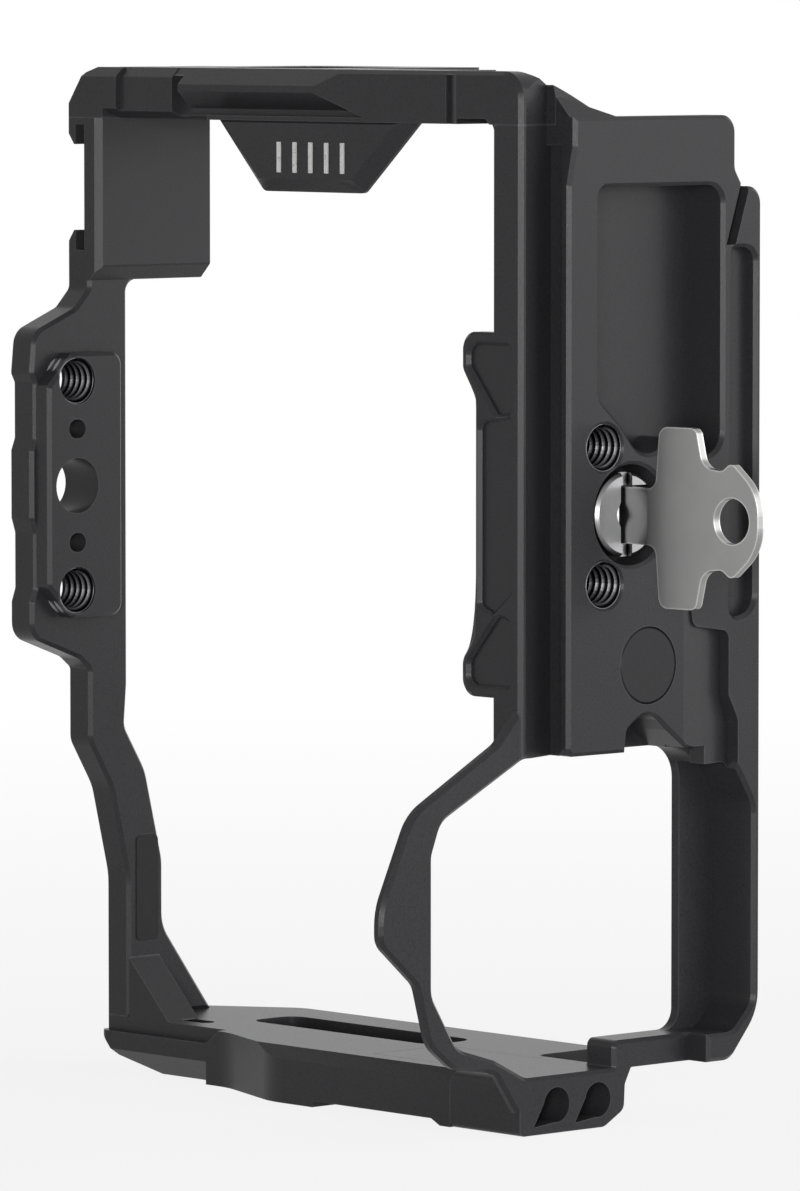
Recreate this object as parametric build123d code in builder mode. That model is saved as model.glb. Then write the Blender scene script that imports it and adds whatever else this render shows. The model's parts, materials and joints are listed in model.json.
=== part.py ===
from build123d import *
import os

# A camera cage, stood on its grip side: +Z is the camera's port side, -Y is the way the
# lens looks, +X is the camera's bottom and -X its top. The origin is where the camera
# screw's axis meets the camera's bottom face. All sizes are in millimetres.

# ---- the camera bay -------------------------------------------------------------------
FRONT_Y = -18.0  # front plane of the frame
BAY_TOP_X = -85.4  # inner face beside the cold shoe
BAY_SIDE_Z = 55.2  # inner face of the side wall
BAY_GRIP_Z = -79.2  # inner face of the grip arm
LIP_T = 2.5  # front lips that hold the camera body's front edge
LIP_INNER_X = 1.4
LIP_ROOT = 2.4  # rounded root of the front lip under the side wall
BREAK = 0.55  # edge break on machined corners
LIP_POCKET_H = 0.9
LIP_CORNER = 0.6
HAND_POCKET_H = 6.5
KEY_SLOT_H = 2.0

# ---- base plate and its dovetail rail ---------------------------------------------------
PLATE_T = 5.5
RAIL_H = 4.0
RAIL_W = 38.4
RAIL_LAND = 1.5
RAIL_UNDERCUT = 2.5
RAIL_FRONT_Y = -12.5
RAIL_BOTTOM_Z = -33.7
RAIL_TOP_Z = 56.3
FACE_X = PLATE_T + RAIL_H
RAIL_REAR_Y = RAIL_FRONT_Y + RAIL_W
GROOVE_FLOOR_X = 3.2
GROOVE_TOP_Z = 52.3  # the undercut ends here and the groove runs on square
GROOVE_FRONT_Y = -17.0  # its front wall slopes down from here to the floor
GROOVE_RUNOUT = 6.0
RIDGE_FRONT_Y = -11.3
RIDGE_TAPER_Z = 46.7
RIDGE_TOP_Z = 59.3
RIDGE_REAR_Y = -2.2
NOTCH_H = 2.0
NOTCH_W = 1.9
NOTCH_LEAN = 0.33  # how far the notch shifts along Y for each mm of height
NOTCH_Y = 18.6
NOTCH_Z = 37.8
NOTCH_L = 9.5

# ---- battery door opening, inside a ring that reaches under the grip --------------------
RING_FRONT_Y = -44.6
RING_RIM_T = 1.4
RING_BACK_BEVEL = 46
OPENING_TOP_Z = -33.9
OPENING_REAR_Y = 17.2
OPENING_FLARE_Y = 24.4
OPENING_FLARE_FLOOR_X = 1.5
TROUGH_DEPTH = 2.2
TROUGH_Y = (10.2, 21.4)
TROUGH_Z = (-38.2, -12.4)
OPENING_BOTTOM_Z = -75.3
OPENING_STEP_Y = 0.4  # the bottom rail joins the foot block in front of this
RAIL_STEP_Y = 15.4  # the raised rail ends here at the bottom
BOTTOM_RAIL_Z = -79.3
FOOT_Z = -87.4

# ---- side wall --------------------------------------------------------------------------
SIDE_T = 7.5
SIDE_OUT_Z = BAY_SIDE_Z + SIDE_T
SIDE_BAND_REAR_Y = -8.4
SIDE_CORNER_REAR_Y = -2.0
SIDE_CORNER_X = -12.0
SIDE_CORNER_RUN = 8.0
SIDE_RAIL_W = 38.2
SIDE_RAIL_REAR_Y = FRONT_Y + SIDE_RAIL_W
SIDE_LAND_Z = 59.3
SIDE_LEDGE_Z = 55.9
SIDE_RAMP = 10.5  # run-out of the bevel towards the base
SIDE_BLOCK_X = (-80.0, -42.0)
PORT_X = (-72.0, -50.0)
PORT_Y = (-8.4, 12.0)
PORT_R = 3.0
SLOPE_FRONT_Y = -15.3  # the wall's end slopes down behind its front edge
SLOPE_REAR_Z = 56.3
SLOPE_LENGTH = 20.0
SIDE_CORNER_R = 3.8
SIDE_CORNER_BREAK = 0.6
STEP_X = (-9.9, -7.8)  # ramped step in the front face
STEP_H = 0.6
RELIEF_X = (-7.8, -1.0)  # relief over the front lip
RELIEF_H = 0.8
CORNER_CUT = [(0, 5.4), (3.3, 0.8), (5.1, 0)]  # from the outer corner: along X, down from the top
SIDE_UNDERCUT = 2.5
SIDE_UNDERCUT_X = (-69.8, -27.4)
SIDE_LAND_X = -38.1  # the land between groove and bevel ends here
SIDE_CHAMFER = 2.4
WIDE_BEVEL = 1.4
UNDER_BEVEL = (3.4, 1.4)  # long shallow bevel under the wall: along Y, up
UNDER_BEVEL_X = (-84.5, -61.0)
FLAT_X = (-81.5, -69.8)  # flat set back into the front face
FLAT_H = 0.8
CROSS_CHANNEL_X = -67.5  # end of the cross channel between the flat and the groove
CROSS_CHANNEL_TOP_Z = 61.5
TAB_TOP_X = (-60.3, -17.3)
TAB_BOTTOM_X = (-50.6, -29.2)
TAB_BOTTOM_Z = 45.0
TAB_CHAMFER = 1.9
TAB_ROOT = 1.6

# ---- top bridge: cold shoe, arch and slim rail --------------------------------------------
BRIDGE_T = 4.6
BRIDGE_OUT_X = -92.1
BRIDGE_IN_X = BRIDGE_OUT_X + BRIDGE_T
SHOE_W = 18.6
SHOE_MOUTH_W = 12.7
SHOE_MOUTH_BREAK = 1.6
SHOE_SLOT_H = 2.0
SHOE_LIP_T = 1.5
SHOE_LIP_LAND = 0.3
SHOE_CENTRE_Z = 44.9
SHOE_LENGTH = 20.0
SHOE_STOP_T = 2.0
SHOE_BEVEL = 0.9
SHOE_BLOCK_Z = 31.1
SHOE_REAR_Y = FRONT_Y + SHOE_LENGTH + SHOE_STOP_T
ARCH_FRONT_Y = -29.3
ARCH_REAR_Y = -10.5
ARCH_SCALLOP = 0.7
BOSS_H = 3.0
BOSS_FRONT_Y = -28.4
BOSS_REAR_Y = -14.0
BOSS_HALF_L = 19.6
BOSS_FRONT_HALF_L = 14.8
BOSS_TAPER = 4.6
ARCH_HOLE_Y = -22.9
ARCH_CENTRE_Z = 1.0
ARCH_HOLE_OFFSET = 15.5
PIN_SLOT_OFFSET = 8.4
PIN_SLOT = (3.2, 2.8)
SLIM_RAIL_W = 7.0
LOWER_RAIL_FRONT_Y = -10.6
LOWER_FOOT_REAR_Y = 6.0

# ---- grip arm ---------------------------------------------------------------------------
ARM_JOINT_X = -9.0
ARM_REAR_Y = 16.0
ARM_STEP_X = -13.0
ARM_BEVEL = 1.7
ARM_BEVEL_L = 50.0
ARM_RECESS = 0.9
ARM_RECESS_X = (-38.3, -13.0)
ARM_RECESS_RUN = 4.0
ARM_CURVE_X = (-47.5, -63.0)
ARM_CURVE_R = 14.0
ARM_REAR_X = -78.0
ARM_REAR_R = 6.0
ARM_JOINT_REAR_Y = 2.4
ARM_WINDOW = (40.0, 9.0)
ARM_WINDOW_R = 3.0
ARM_WINDOW_AT = (-52.0, 4.0)
NOSE_FRONT_Y = -12.4
NOSE_BEVEL = 3.4
NOSE_TOP_Z = -81.3
NOSE_BEVEL_X = -68.0
NOSE_RUN = 4.0
NOSE_END = [(0, 6.0), (3.4, 2.4), (10.5, 0)]  # along X from the end, up from the foot
STRAP_SLOT = (13.0, 2.6)
STRAP_SLOT_AT = (-80.0, -6.4)
GUSSET = 9.0
GUSSET_T = 6.0
TONGUE_X = -30.0
TONGUE_Y = (-13.5, 0.5)
TONGUE_Z = -82.6
TONGUE_GAP = 0.1

# ---- teardrop holes at the foot -----------------------------------------------------------
TEAR_R = 2.5
TEAR_PITCH = 8.1
TEAR_FIRST_Y = -10.8
TEAR_Z = -83.4
TEAR_TIP = (-4.5, -2.9)
TEAR_FLANKS = [(-0.98, 0.2), (0.4, -0.92)]  # where the tip's flanks leave the hole, in hole radii

# ---- threads and fasteners ----------------------------------------------------------------
QUARTER_TAP_D = 6.9  # bore that takes a 1/4"-20 insert
QUARTER_BORE_D = 5.4  # bore of the insert, at the thread's minor diameter
ARRI_BORE_D = 8.2  # 3/8"-16 thread at its minor diameter
THREAD_DEPTH = 7.5
THREAD_Y = -5.4
THREAD_Z = 9.7
FRAME_SCREW_D = 1.6
FRAME_SCREW_HEAD_D = 3.0
FRAME_SCREW_HEAD_H = 1.2
FRAME_SCREW_HEX = 1.5
FRAME_SCREW_HEX_H = 0.7
BORE_GAP = 0.05  # radial gap round frame screws
HEAD_BORE_GAP = 0.1
BORE_RUNOUT = 12.0
BORE_END_GAP = 0.3
BASE_SCREWS = [(1.4, -13.9), (1.4, -9.6)]
BASE_SCREW_SEAT_Z = 57.8
BASE_SCREW_L = 9.0
SHOE_SCREWS = [(-86.9, -14.0), (-86.9, -4.0)]
SHOE_SCREW_SEAT_Z = 60.9
SHOE_SCREW_L = 13.0
RAIL_SCREWS = [(-89.8, -7.0), (-89.8, 2.0)]
RAIL_SCREW_SEAT_Z = -80.9
RAIL_SCREW_L = 7.3
FOOT_SCREWS = [(-24.5, -6.5), (-14.5, -6.5)]
FOOT_SCREW_SEAT_Z = -84.8
FOOT_SCREW_L = 4.6
DOWEL_D = 1.5
DOWEL_L = 5.6
BASE_PIN = (2.6, -6.0)
BASE_PIN_Z = 51.4
SHOE_PIN = (-86.9, -9.0)
SHOE_PIN_Z = 52.4
RAIL_PIN = (-89.8, -2.5)
RAIL_PIN_Z = -82.0
FOOT_PIN = (-19.5, -10.5)
FOOT_PIN_Z = -85.4
INSERT_SINK = 0.3

# ---- camera screw, its retainer and its handle ----------------------------------------------
HEAD_D = 12.0
HEAD_OUT_X = 8.5
HEAD_T = 4.3
COUNTERBORE_D = 14.4
COUNTERBORE_BREAK = 0.5
WEB_T = 1.3
WASHER_T = 0.36
WASHER_PLAY = 0.02  # each side of the washer
SCREW_D = 6.35
SCREW_REACH = 5.0
SCREW_WALL_GAP = 0.33  # radial gap between the screw and the web's bore
RUN_GAP = 0.05  # radial running clearance of turning pieces
CLIP_T = 0.8
CLIP_D = 8.4
CLIP_PLAY = 0.1
CLIP_POCKET_D = 9.6
CLIP_X = 0.2
NECK_D = 4.8
SCREW_SLOT_W = 1.9
SCREW_SLOT_H = 1.0
SCREW_HEX = 4.0
SCREW_HEX_H = 2.6
PIN_D = 1.2
PIN_L = 10.4
PIVOT_X = 6.5
CHANNEL_FLOOR_X = 5.1
CHANNEL_SIDE_GAP = 0.15
HANDLE_T = 1.2
HANDLE_L = 28.0
HANDLE_NECK_W = 8.0
HANDLE_WING_W = 25.6
HANDLE_NOSE_W = 16.4
HANDLE_WAIST_W = 14.6
HANDLE_WAIST_TAPER = 0.4
HANDLE_TIP_W = 8.0
HANDLE_TIP_R = 7.0
HANDLE_HOLE_D = 6.5
HANDLE_HOLE_INSET = 5.0
HANDLE_NECK_END = 0.32  # shares of the handle's length, from the pin
HANDLE_WING_SPAN = (0.345, 0.585)
HANDLE_WAIST_SPAN = (0.63, 0.757)
HANDLE_NOSE_AT = 0.82
HANDLE_TIP_AT = 0.993
HANDLE_ROOT = 2.0
HANDLE_BARREL_R = 1.25
HANDLE_NECK_LEAN = 6.0
HANDLE_PLATE_LEAN = 4.5
HANDLE_BEND_AT = 7.5
HEAD_BREAK = 0.45
TIP_BREAK = 0.8
CHANNEL_BACK = 1.3
CHANNEL_END_Y = 7.0
CLIP_GAP_W = 3.6

# ---- pads, marks and the key magnet ---------------------------------------------------------
PAD_T = 0.8
PAD_SEAT = 0.6
MAGNET_D = 11.1
MAGNET_T = 1.6
MAGNET_BREAK = 0.2
MAGNET_AT = (3.2, -21.5)
MARK_T = 0.25
MARK_CENTRE = (-38.4, 50.0)
MARK_PITCH = 3.4
MARK_COUNT = 5
MARK_W = 0.7
MARK_H = 4.4
MAGNET_GAP = 0.15
BASE_PAD = (22.0, 12.0)
BASE_PAD_R = 1.5
BASE_PADS_AT = [(4.0, 44.0), (4.0, -18.0)]
BRIDGE_PAD = (4.2, 16.0)
BRIDGE_PAD_R = 1.0
BRIDGE_PAD_AT = (-7.0, -60.0)


def blank(points, mode=Mode.ADD):
    """Add a face from (across, up, corner radius) points."""
    with BuildLine() as edge:
        FilletPolyline(*[(a, b) for a, b, r in points], radius=[r for a, b, r in points], close=True)
    return make_face(edge.edges(), mode=mode)


def sink(face, points, depth):
    """Cut a pocket with broken edges into a face of the part in hand."""
    for run, spread, lean in ((depth, 0, 0), (BREAK, BREAK, 45)):
        with BuildSketch(face) as mouth:
            blank(points)
            if spread:
                offset(amount=spread)
        extrude(mouth.sketch, amount=-run, taper=lean, mode=Mode.SUBTRACT)


def front_plane(y):
    """Sketch plane facing -Y at the given y: across is X, up is Z."""
    return Plane.XZ.offset(-y)


def side_plane(x):
    """Sketch plane facing +X at the given x: across is Y, up is Z."""
    return Plane.YZ.offset(x)


def save(name, solid):
    """Label one finished piece and write its STEP file."""
    solid.label = name
    export_step(solid, f"parts/{name}.step")


def cap_screws(points, seat_z, toward, length):
    """Socket cap screws on a seat; toward is 1 when the heads face up and -1 when down."""
    with BuildPart() as screws:
        with BuildSketch(Plane.XY.offset(seat_z)):
            with Locations(*points):
                Circle(FRAME_SCREW_HEAD_D / 2)
        extrude(amount=toward * FRAME_SCREW_HEAD_H)
        with BuildSketch(Plane.XY.offset(seat_z)):
            with Locations(*points):
                Circle(FRAME_SCREW_D / 2)
        extrude(amount=-toward * length)
        with BuildSketch(Plane.XY.offset(seat_z + toward * FRAME_SCREW_HEAD_H)):
            with Locations(*points):
                RegularPolygon(FRAME_SCREW_HEX / 2, 6, major_radius=False)
        extrude(amount=-toward * FRAME_SCREW_HEX_H, mode=Mode.SUBTRACT)
    return screws.part


def cap_bores(points, seat_z, toward, length):
    """Stepped bores that take cap_screws of the same points, seat and length."""
    with BuildPart() as bores:
        with BuildSketch(Plane.XY.offset(seat_z)):
            with Locations(*points):
                Circle(FRAME_SCREW_HEAD_D / 2 + HEAD_BORE_GAP)
        extrude(amount=toward * BORE_RUNOUT)
        with BuildSketch(Plane.XY.offset(seat_z)):
            with Locations(*points):
                Circle(FRAME_SCREW_D / 2 + BORE_GAP)
        extrude(amount=-toward * (length + BORE_END_GAP))
    return bores.part


def pin_bores(points, bottom_z):
    """Blind bores shared by the two pieces a locating pin joins."""
    with BuildPart() as bores:
        with BuildSketch(Plane.XY.offset(bottom_z - BORE_END_GAP)):
            with Locations(*points):
                Circle(DOWEL_D / 2)
        extrude(amount=DOWEL_L + 2 * BORE_END_GAP)
    return bores.part


os.makedirs("parts", exist_ok=True)

HEAD_SEAT_X = HEAD_OUT_X - HEAD_T
WEB_OUT_X = HEAD_SEAT_X - WASHER_T - 2 * WASHER_PLAY
WEB_IN_X = WEB_OUT_X - WEB_T
WEB_BORE_D = SCREW_D + 2 * SCREW_WALL_GAP
GROOVE_SLOPE = (PLATE_T - GROOVE_FLOOR_X) / (RAIL_FRONT_Y + RAIL_UNDERCUT - GROOVE_FRONT_Y)

# ---------------------------------------------------------------------------------------
# Base plate: slab, raised dovetail rail, front lip and battery door ring
# ---------------------------------------------------------------------------------------
ring_outer = [
    (-12.0, -27.0, 0),
    (FRONT_Y, -27.0, 0.5),
    (-22.3, -31.6, 3),
    (-38.6, -40.4, 8),
    (RING_FRONT_Y, -53.4, 10),
    (RING_FRONT_Y, -58.2, 3),
    (-37.6, -64.4, 3),
    (-35.2, -73.2, 5),
    (-30.6, -76.8, 4),
    (-22.6, -78.0, 2),
    (FRONT_Y, -84.6, 2),
    (-12.0, -84.6, 0),
]
plate_outline = [
    (FRONT_Y, BAY_SIDE_Z, 0),
    (FRONT_Y, FOOT_Z, 0.8),
    (-1.5, FOOT_Z, 2),
    (2.4, -85.2, 1.5),
    (2.6, -81.6, 1),
    (3.8, BOTTOM_RAIL_Z, 0.4),
]
foot_block = [
    (FRONT_Y, BAY_GRIP_Z, 2.4),
    (FRONT_Y, FOOT_Z, 0.8),
    (-1.5, FOOT_Z, 2),
    (2.4, -85.2, 1.5),
    (2.4, BAY_GRIP_Z, 0),
]
rear_corner = [
    (20.2, BOTTOM_RAIL_Z, 3),
    (RAIL_REAR_Y, -72.6, 8),
    (RAIL_REAR_Y, 46.1, 2.5),
    (22.3, 46.1, 0.5),
    (20.7, 48.6, 2),
]
battery_opening = [
    (-17.0, OPENING_TOP_Z, 3),
    (-32.8, -41.8, 4),
    (-34.6, -46.5, 3),
    (-34.6, -66.2, 4),
    (-29.8, -74.0, 4),
    (-22.5, -76.2, 3),
    (-16.6, BAY_GRIP_Z, 3),
    (OPENING_STEP_Y, BAY_GRIP_Z, 0.3),
    (OPENING_STEP_Y, OPENING_BOTTOM_Z, 2 * BREAK),
    (OPENING_REAR_Y, OPENING_BOTTOM_Z, 3),
    (OPENING_REAR_Y, OPENING_TOP_Z, 5),
]
opening_flare = [
    (-1.2, RAIL_BOTTOM_Z - 1.5, 0.5),
    (-0.6, -30.4, 1.5),
    (3.4, -27.8, 3.5),
    (7.2, -31.0, 1.5),
    (14.4, -36.4, 2),
    (20.6, -36.4, 2),
    (OPENING_FLARE_Y, -42.6, 5),
    (OPENING_FLARE_Y, -71.4, 3),
    (20.6, OPENING_BOTTOM_Z, 3),
    (9.0, OPENING_BOTTOM_Z, 1),
    (9.0, RAIL_BOTTOM_Z - 1.5, 2 * BREAK),
]
rear_trough = [
    (TROUGH_Y[0], TROUGH_Z[1], 0),
    (11.4, TROUGH_Z[1], 0.5),
    (12.2, -16.4, 1.4),
    (19.3, -17.4, 1.4),
    (19.3, -26.6, 1),
    (21.2, -30.2, 2),
    (21.2, TROUGH_Z[0], 0),
    (TROUGH_Y[0], TROUGH_Z[0], 0),
]
rail_outline = (
    [(RAIL_FRONT_Y, RAIL_BOTTOM_Z, 1.2), (RAIL_STEP_Y, RAIL_BOTTOM_Z, 0), (RAIL_STEP_Y, BOTTOM_RAIL_Z, 0)]
    + rear_corner
    + [(20.7, RAIL_TOP_Z, 2.5), (RIDGE_FRONT_Y, RAIL_TOP_Z, 0)]
    + [(RIDGE_FRONT_Y, GROOVE_TOP_Z, 2 * BREAK), (RAIL_FRONT_Y, RIDGE_TAPER_Z, 2 * BREAK)]
)
hand_pocket = [
    (-6.4, 46.4, 1.6),
    (17.9, 46.4, 2.6),
    (17.9, 7.8, 3.5),
    (12.4, 7.8, 2.4),
    (8.4, 11.4, 2.0),
    (3.0, 6.7, 4.4),
    (-2.4, 13.1, 3),
    (-6.4, 16.6, 3),
]
key_slot = [
    (20.0, 37.4, 0.8),
    (24.5, 37.4, 2.0),
    (24.5, -14.8, 3),
    (19.6, -15.8, 1.5),
]
lip_outline = [
    (LIP_INNER_X - LIP_ROOT, BAY_SIDE_Z, 0),
    (LIP_INNER_X - LIP_ROOT / 4, BAY_SIDE_Z - LIP_ROOT / 4, 1.6),
    (LIP_INNER_X, BAY_SIDE_Z - LIP_ROOT, 0.8),
    (LIP_INNER_X, 26.0, 0.8),
    (-6.9, 26.0, 2.5),
    (-6.9, 20.6, 2),
    (-4.2, 17.0, 2),
    (-4.2, -16.8, 2),
    (-6.9, -20.4, 2),
    (-6.9, -25.6, 2.5),
    (LIP_INNER_X, -25.6, 0.8),
    (LIP_INNER_X, -29.0, 0),
    (PLATE_T, -29.0, 0),
    (PLATE_T, BAY_SIDE_Z, 0),
]
lip_pockets = [
    [(-5.2, 24.2, 1.5), (3.3, 24.2, 1.2), (3.3, 14.8, 1.0), (0.4, 14.4, 0.8), (-5.2, 21.2, 1.2)],
    [(-2.9, 13.2, 1.2), (3.3, 14.0, 0.8), (3.3, -10.4, 0.8), (-0.6, -13.6, 0.8), (-2.9, -12.6, 1.0)],
    [(0.6, -14.0, 0.8), (3.3, -14.8, 0.8), (3.3, -23.9, 1.2), (-5.2, -23.9, 1.5), (-5.2, -20.6, 1.2)],
]

handle_side = [
    (-HANDLE_ROOT, HANDLE_NECK_W / 2, 0),
    (HANDLE_L * HANDLE_NECK_END, HANDLE_NECK_W / 2, 1.6),
    (HANDLE_L * HANDLE_WING_SPAN[0], HANDLE_WING_W / 2, 1.6),
    (HANDLE_L * HANDLE_WING_SPAN[1], HANDLE_WING_W / 2, 1.2),
    (HANDLE_L * HANDLE_WAIST_SPAN[0], HANDLE_WAIST_W / 2, 2.4),
    (HANDLE_L * HANDLE_WAIST_SPAN[1], HANDLE_WAIST_W / 2 - HANDLE_WAIST_TAPER, 1.5),
    (HANDLE_L * HANDLE_NOSE_AT, HANDLE_NOSE_W / 2, 1.0),
    (HANDLE_L * HANDLE_TIP_AT, HANDLE_TIP_W / 2, HANDLE_TIP_R),
]
handle_outline = [(PIVOT_X + along, side, r) for along, side, r in handle_side] + [
    (PIVOT_X + along, -side, r) for along, side, r in reversed(handle_side)
]

# shallow trough whose floor falls away towards the rear edge
with BuildPart() as trough_cut:
    with BuildSketch(side_plane(PLATE_T)):
        blank(rear_trough)
    extrude(amount=RAIL_H)
    with BuildSketch(Plane.XY.offset(TROUGH_Z[0])):
        with BuildLine():
            Polyline(
                (FACE_X, TROUGH_Y[0]),
                (FACE_X - TROUGH_DEPTH, TROUGH_Y[1]),
                (FACE_X, TROUGH_Y[1]),
                close=True,
            )
        make_face()
    extrude(amount=TROUGH_Z[1] - TROUGH_Z[0], mode=Mode.INTERSECT)

# leaning notch over the key slot, whose floor falls away towards the rear edge
with BuildPart() as notch_cut:
    with BuildSketch(Plane.XY.offset(NOTCH_Z)):
        with BuildLine():
            Polyline(
                (FACE_X, NOTCH_Y),
                (FACE_X - NOTCH_H, NOTCH_Y + NOTCH_W),
                (FACE_X, NOTCH_Y + NOTCH_W),
                close=True,
            )
        make_face()
    extrude(amount=NOTCH_L, dir=(0, NOTCH_LEAN, 1))

# the rail's ridge runs on over the side wall and slopes away to both sides
with BuildPart() as ridge_end:
    with BuildSketch(front_plane(RIDGE_REAR_Y)):
        with BuildLine():
            Polyline(
                (PLATE_T, BAY_SIDE_Z),
                (FACE_X - BREAK, BAY_SIDE_Z),
                (FACE_X - BREAK, RAIL_TOP_Z - BREAK),
                (PLATE_T, RIDGE_TOP_Z),
                close=True,
            )
        make_face()
    extrude(amount=RIDGE_REAR_Y - RIDGE_FRONT_Y)
    with BuildSketch(side_plane(PLATE_T)):
        with BuildLine():
            Polyline(
                (RIDGE_FRONT_Y, BAY_SIDE_Z),
                (RIDGE_FRONT_Y, RIDGE_TOP_Z),
                (RIDGE_REAR_Y, RAIL_TOP_Z),
                (RIDGE_REAR_Y, BAY_SIDE_Z),
                close=True,
            )
        make_face()
    extrude(amount=RAIL_H, mode=Mode.INTERSECT)

# end of the front groove, which runs out over the side wall beside the ridge
with BuildPart() as groove_end:
    with BuildSketch(Plane.XY.offset(GROOVE_TOP_Z - RAIL_UNDERCUT)):
        with BuildLine():
            Polyline(
                (PLATE_T, GROOVE_FRONT_Y),
                (PLATE_T - GROOVE_SLOPE * (RIDGE_FRONT_Y - GROOVE_FRONT_Y), RIDGE_FRONT_Y),
                (PLATE_T + 1.0, RIDGE_FRONT_Y),
                (PLATE_T + 1.0, GROOVE_FRONT_Y),
                close=True,
            )
        make_face()
    extrude(amount=SIDE_OUT_Z - GROOVE_TOP_Z + RAIL_UNDERCUT + 1.0)

with BuildPart() as base_plate:
    with BuildSketch(side_plane(0)):
        blank(plate_outline + rear_corner + [(20.7, BAY_SIDE_Z, 0)])
    extrude(amount=PLATE_T)
    # the ring's rim is square at its face and bevelled away behind it
    for start_x, height, lean in (
        (PLATE_T - RING_RIM_T, RING_RIM_T - PLATE_T, RING_BACK_BEVEL),
        (PLATE_T - RING_RIM_T, RING_RIM_T - BREAK, 0),
        (PLATE_T - BREAK, BREAK, 45),
    ):
        with BuildSketch(side_plane(start_x)):
            blank(ring_outer)
        extrude(amount=height, taper=lean)
    for floor_x, height, lean in ((PLATE_T, RAIL_H - BREAK, 0), (FACE_X - BREAK, BREAK, 45)):
        with BuildSketch(side_plane(floor_x)):
            blank(rail_outline)
        extrude(amount=height, taper=lean)
    # the front lip stands on the plate's front edge and overlaps the camera's front
    for back_y, height, lean in ((FRONT_Y + LIP_T, LIP_T - BREAK, 0), (FRONT_Y + BREAK, BREAK, 45)):
        with BuildSketch(front_plane(back_y)):
            blank(lip_outline)
        extrude(amount=height, taper=lean)
    for pocket in lip_pockets:
        sink(front_plane(FRONT_Y), pocket, LIP_POCKET_H)
    # front groove, which undercuts the rail's front flank at 45 degrees
    with BuildSketch(Plane.XY.offset(RAIL_BOTTOM_Z - GROOVE_RUNOUT)):
        with BuildLine():
            Polyline(
                (FACE_X - RAIL_LAND, RAIL_FRONT_Y),
                (FACE_X - RAIL_LAND - RAIL_UNDERCUT, RAIL_FRONT_Y + RAIL_UNDERCUT),
                (GROOVE_FLOOR_X, RAIL_FRONT_Y + RAIL_UNDERCUT),
                (PLATE_T, GROOVE_FRONT_Y),
                (FACE_X - RAIL_LAND, GROOVE_FRONT_Y),
                close=True,
            )
        make_face()
    extrude(amount=GROOVE_TOP_Z - RAIL_BOTTOM_Z + GROOVE_RUNOUT, mode=Mode.SUBTRACT)
    add(groove_end.part, mode=Mode.SUBTRACT)
    add(ridge_end.part)
    # rear flank of the rail
    with BuildSketch(Plane.XY.offset(RAIL_BOTTOM_Z)):
        with BuildLine():
            Polyline(
                (FACE_X - RAIL_LAND, RAIL_REAR_Y),
                (FACE_X - RAIL_LAND - RAIL_UNDERCUT, RAIL_REAR_Y - RAIL_UNDERCUT),
                (-1.0, RAIL_REAR_Y - RAIL_UNDERCUT),
                (-1.0, RAIL_REAR_Y + 1.0),
                (FACE_X - RAIL_LAND, RAIL_REAR_Y + 1.0),
                close=True,
            )
        make_face()
    extrude(amount=RAIL_TOP_Z - RAIL_BOTTOM_Z, mode=Mode.SUBTRACT)
    # flared rear of the battery opening, the opening itself, hand pocket and key slot
    sink(side_plane(FACE_X), opening_flare, FACE_X - OPENING_FLARE_FLOOR_X)
    sink(side_plane(PLATE_T), battery_opening, PLATE_T)
    sink(side_plane(FACE_X), hand_pocket, HAND_POCKET_H)
    sink(side_plane(FACE_X), key_slot, KEY_SLOT_H)
    add(trough_cut.part, mode=Mode.SUBTRACT)
    add(notch_cut.part, mode=Mode.SUBTRACT)
    # front corner of the plate
    with BuildSketch(Plane.XY.offset(OPENING_TOP_Z)):
        with BuildLine():
            Polyline(
                (PLATE_T - LIP_CORNER, FRONT_Y),
                (PLATE_T, FRONT_Y + LIP_CORNER),
                (PLATE_T, FRONT_Y),
                close=True,
            )
        make_face()
    extrude(amount=BAY_SIDE_Z - OPENING_TOP_Z, mode=Mode.SUBTRACT)
    # camera screw: counterbore, web and clip pocket
    with BuildSketch(side_plane(FACE_X)):
        Circle(COUNTERBORE_D / 2)
    extrude(amount=-(FACE_X - WEB_OUT_X), mode=Mode.SUBTRACT)
    with BuildSketch(side_plane(FACE_X)):
        Circle(COUNTERBORE_D / 2 + COUNTERBORE_BREAK)
    extrude(amount=-COUNTERBORE_BREAK, taper=45, mode=Mode.SUBTRACT)
    with BuildSketch(side_plane(WEB_OUT_X)):
        Circle(WEB_BORE_D / 2)
    extrude(amount=-WEB_T, mode=Mode.SUBTRACT)
    with BuildSketch(side_plane(WEB_IN_X)):
        Circle(CLIP_POCKET_D / 2)
    extrude(amount=-WEB_IN_X, mode=Mode.SUBTRACT)
    # tapped bores and the key magnet's seat
    for height, spread, lean in ((THREAD_DEPTH, 0, 0), (INSERT_SINK, INSERT_SINK, 45)):
        with BuildSketch(side_plane(FACE_X)):
            with Locations((THREAD_Y, THREAD_Z), (THREAD_Y, -THREAD_Z)):
                Circle(QUARTER_TAP_D / 2 + spread)
        extrude(amount=-height, taper=lean, mode=Mode.SUBTRACT)
    with BuildSketch(side_plane(FACE_X)):
        with Locations(MAGNET_AT):
            Circle(MAGNET_D / 2)
    extrude(amount=-MAGNET_T, mode=Mode.SUBTRACT)
    # foot block with the tongue that enters the grip arm
    with BuildSketch(side_plane(0)):
        blank(foot_block)
    extrude(amount=ARM_JOINT_X)
    with BuildSketch(Plane.XY.offset(TONGUE_Z)):
        with Locations(((TONGUE_X + ARM_JOINT_X) / 2, (TONGUE_Y[0] + TONGUE_Y[1]) / 2)):
            Rectangle(ARM_JOINT_X - TONGUE_X, TONGUE_Y[1] - TONGUE_Y[0])
    extrude(amount=BAY_GRIP_Z - TONGUE_Z)
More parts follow.
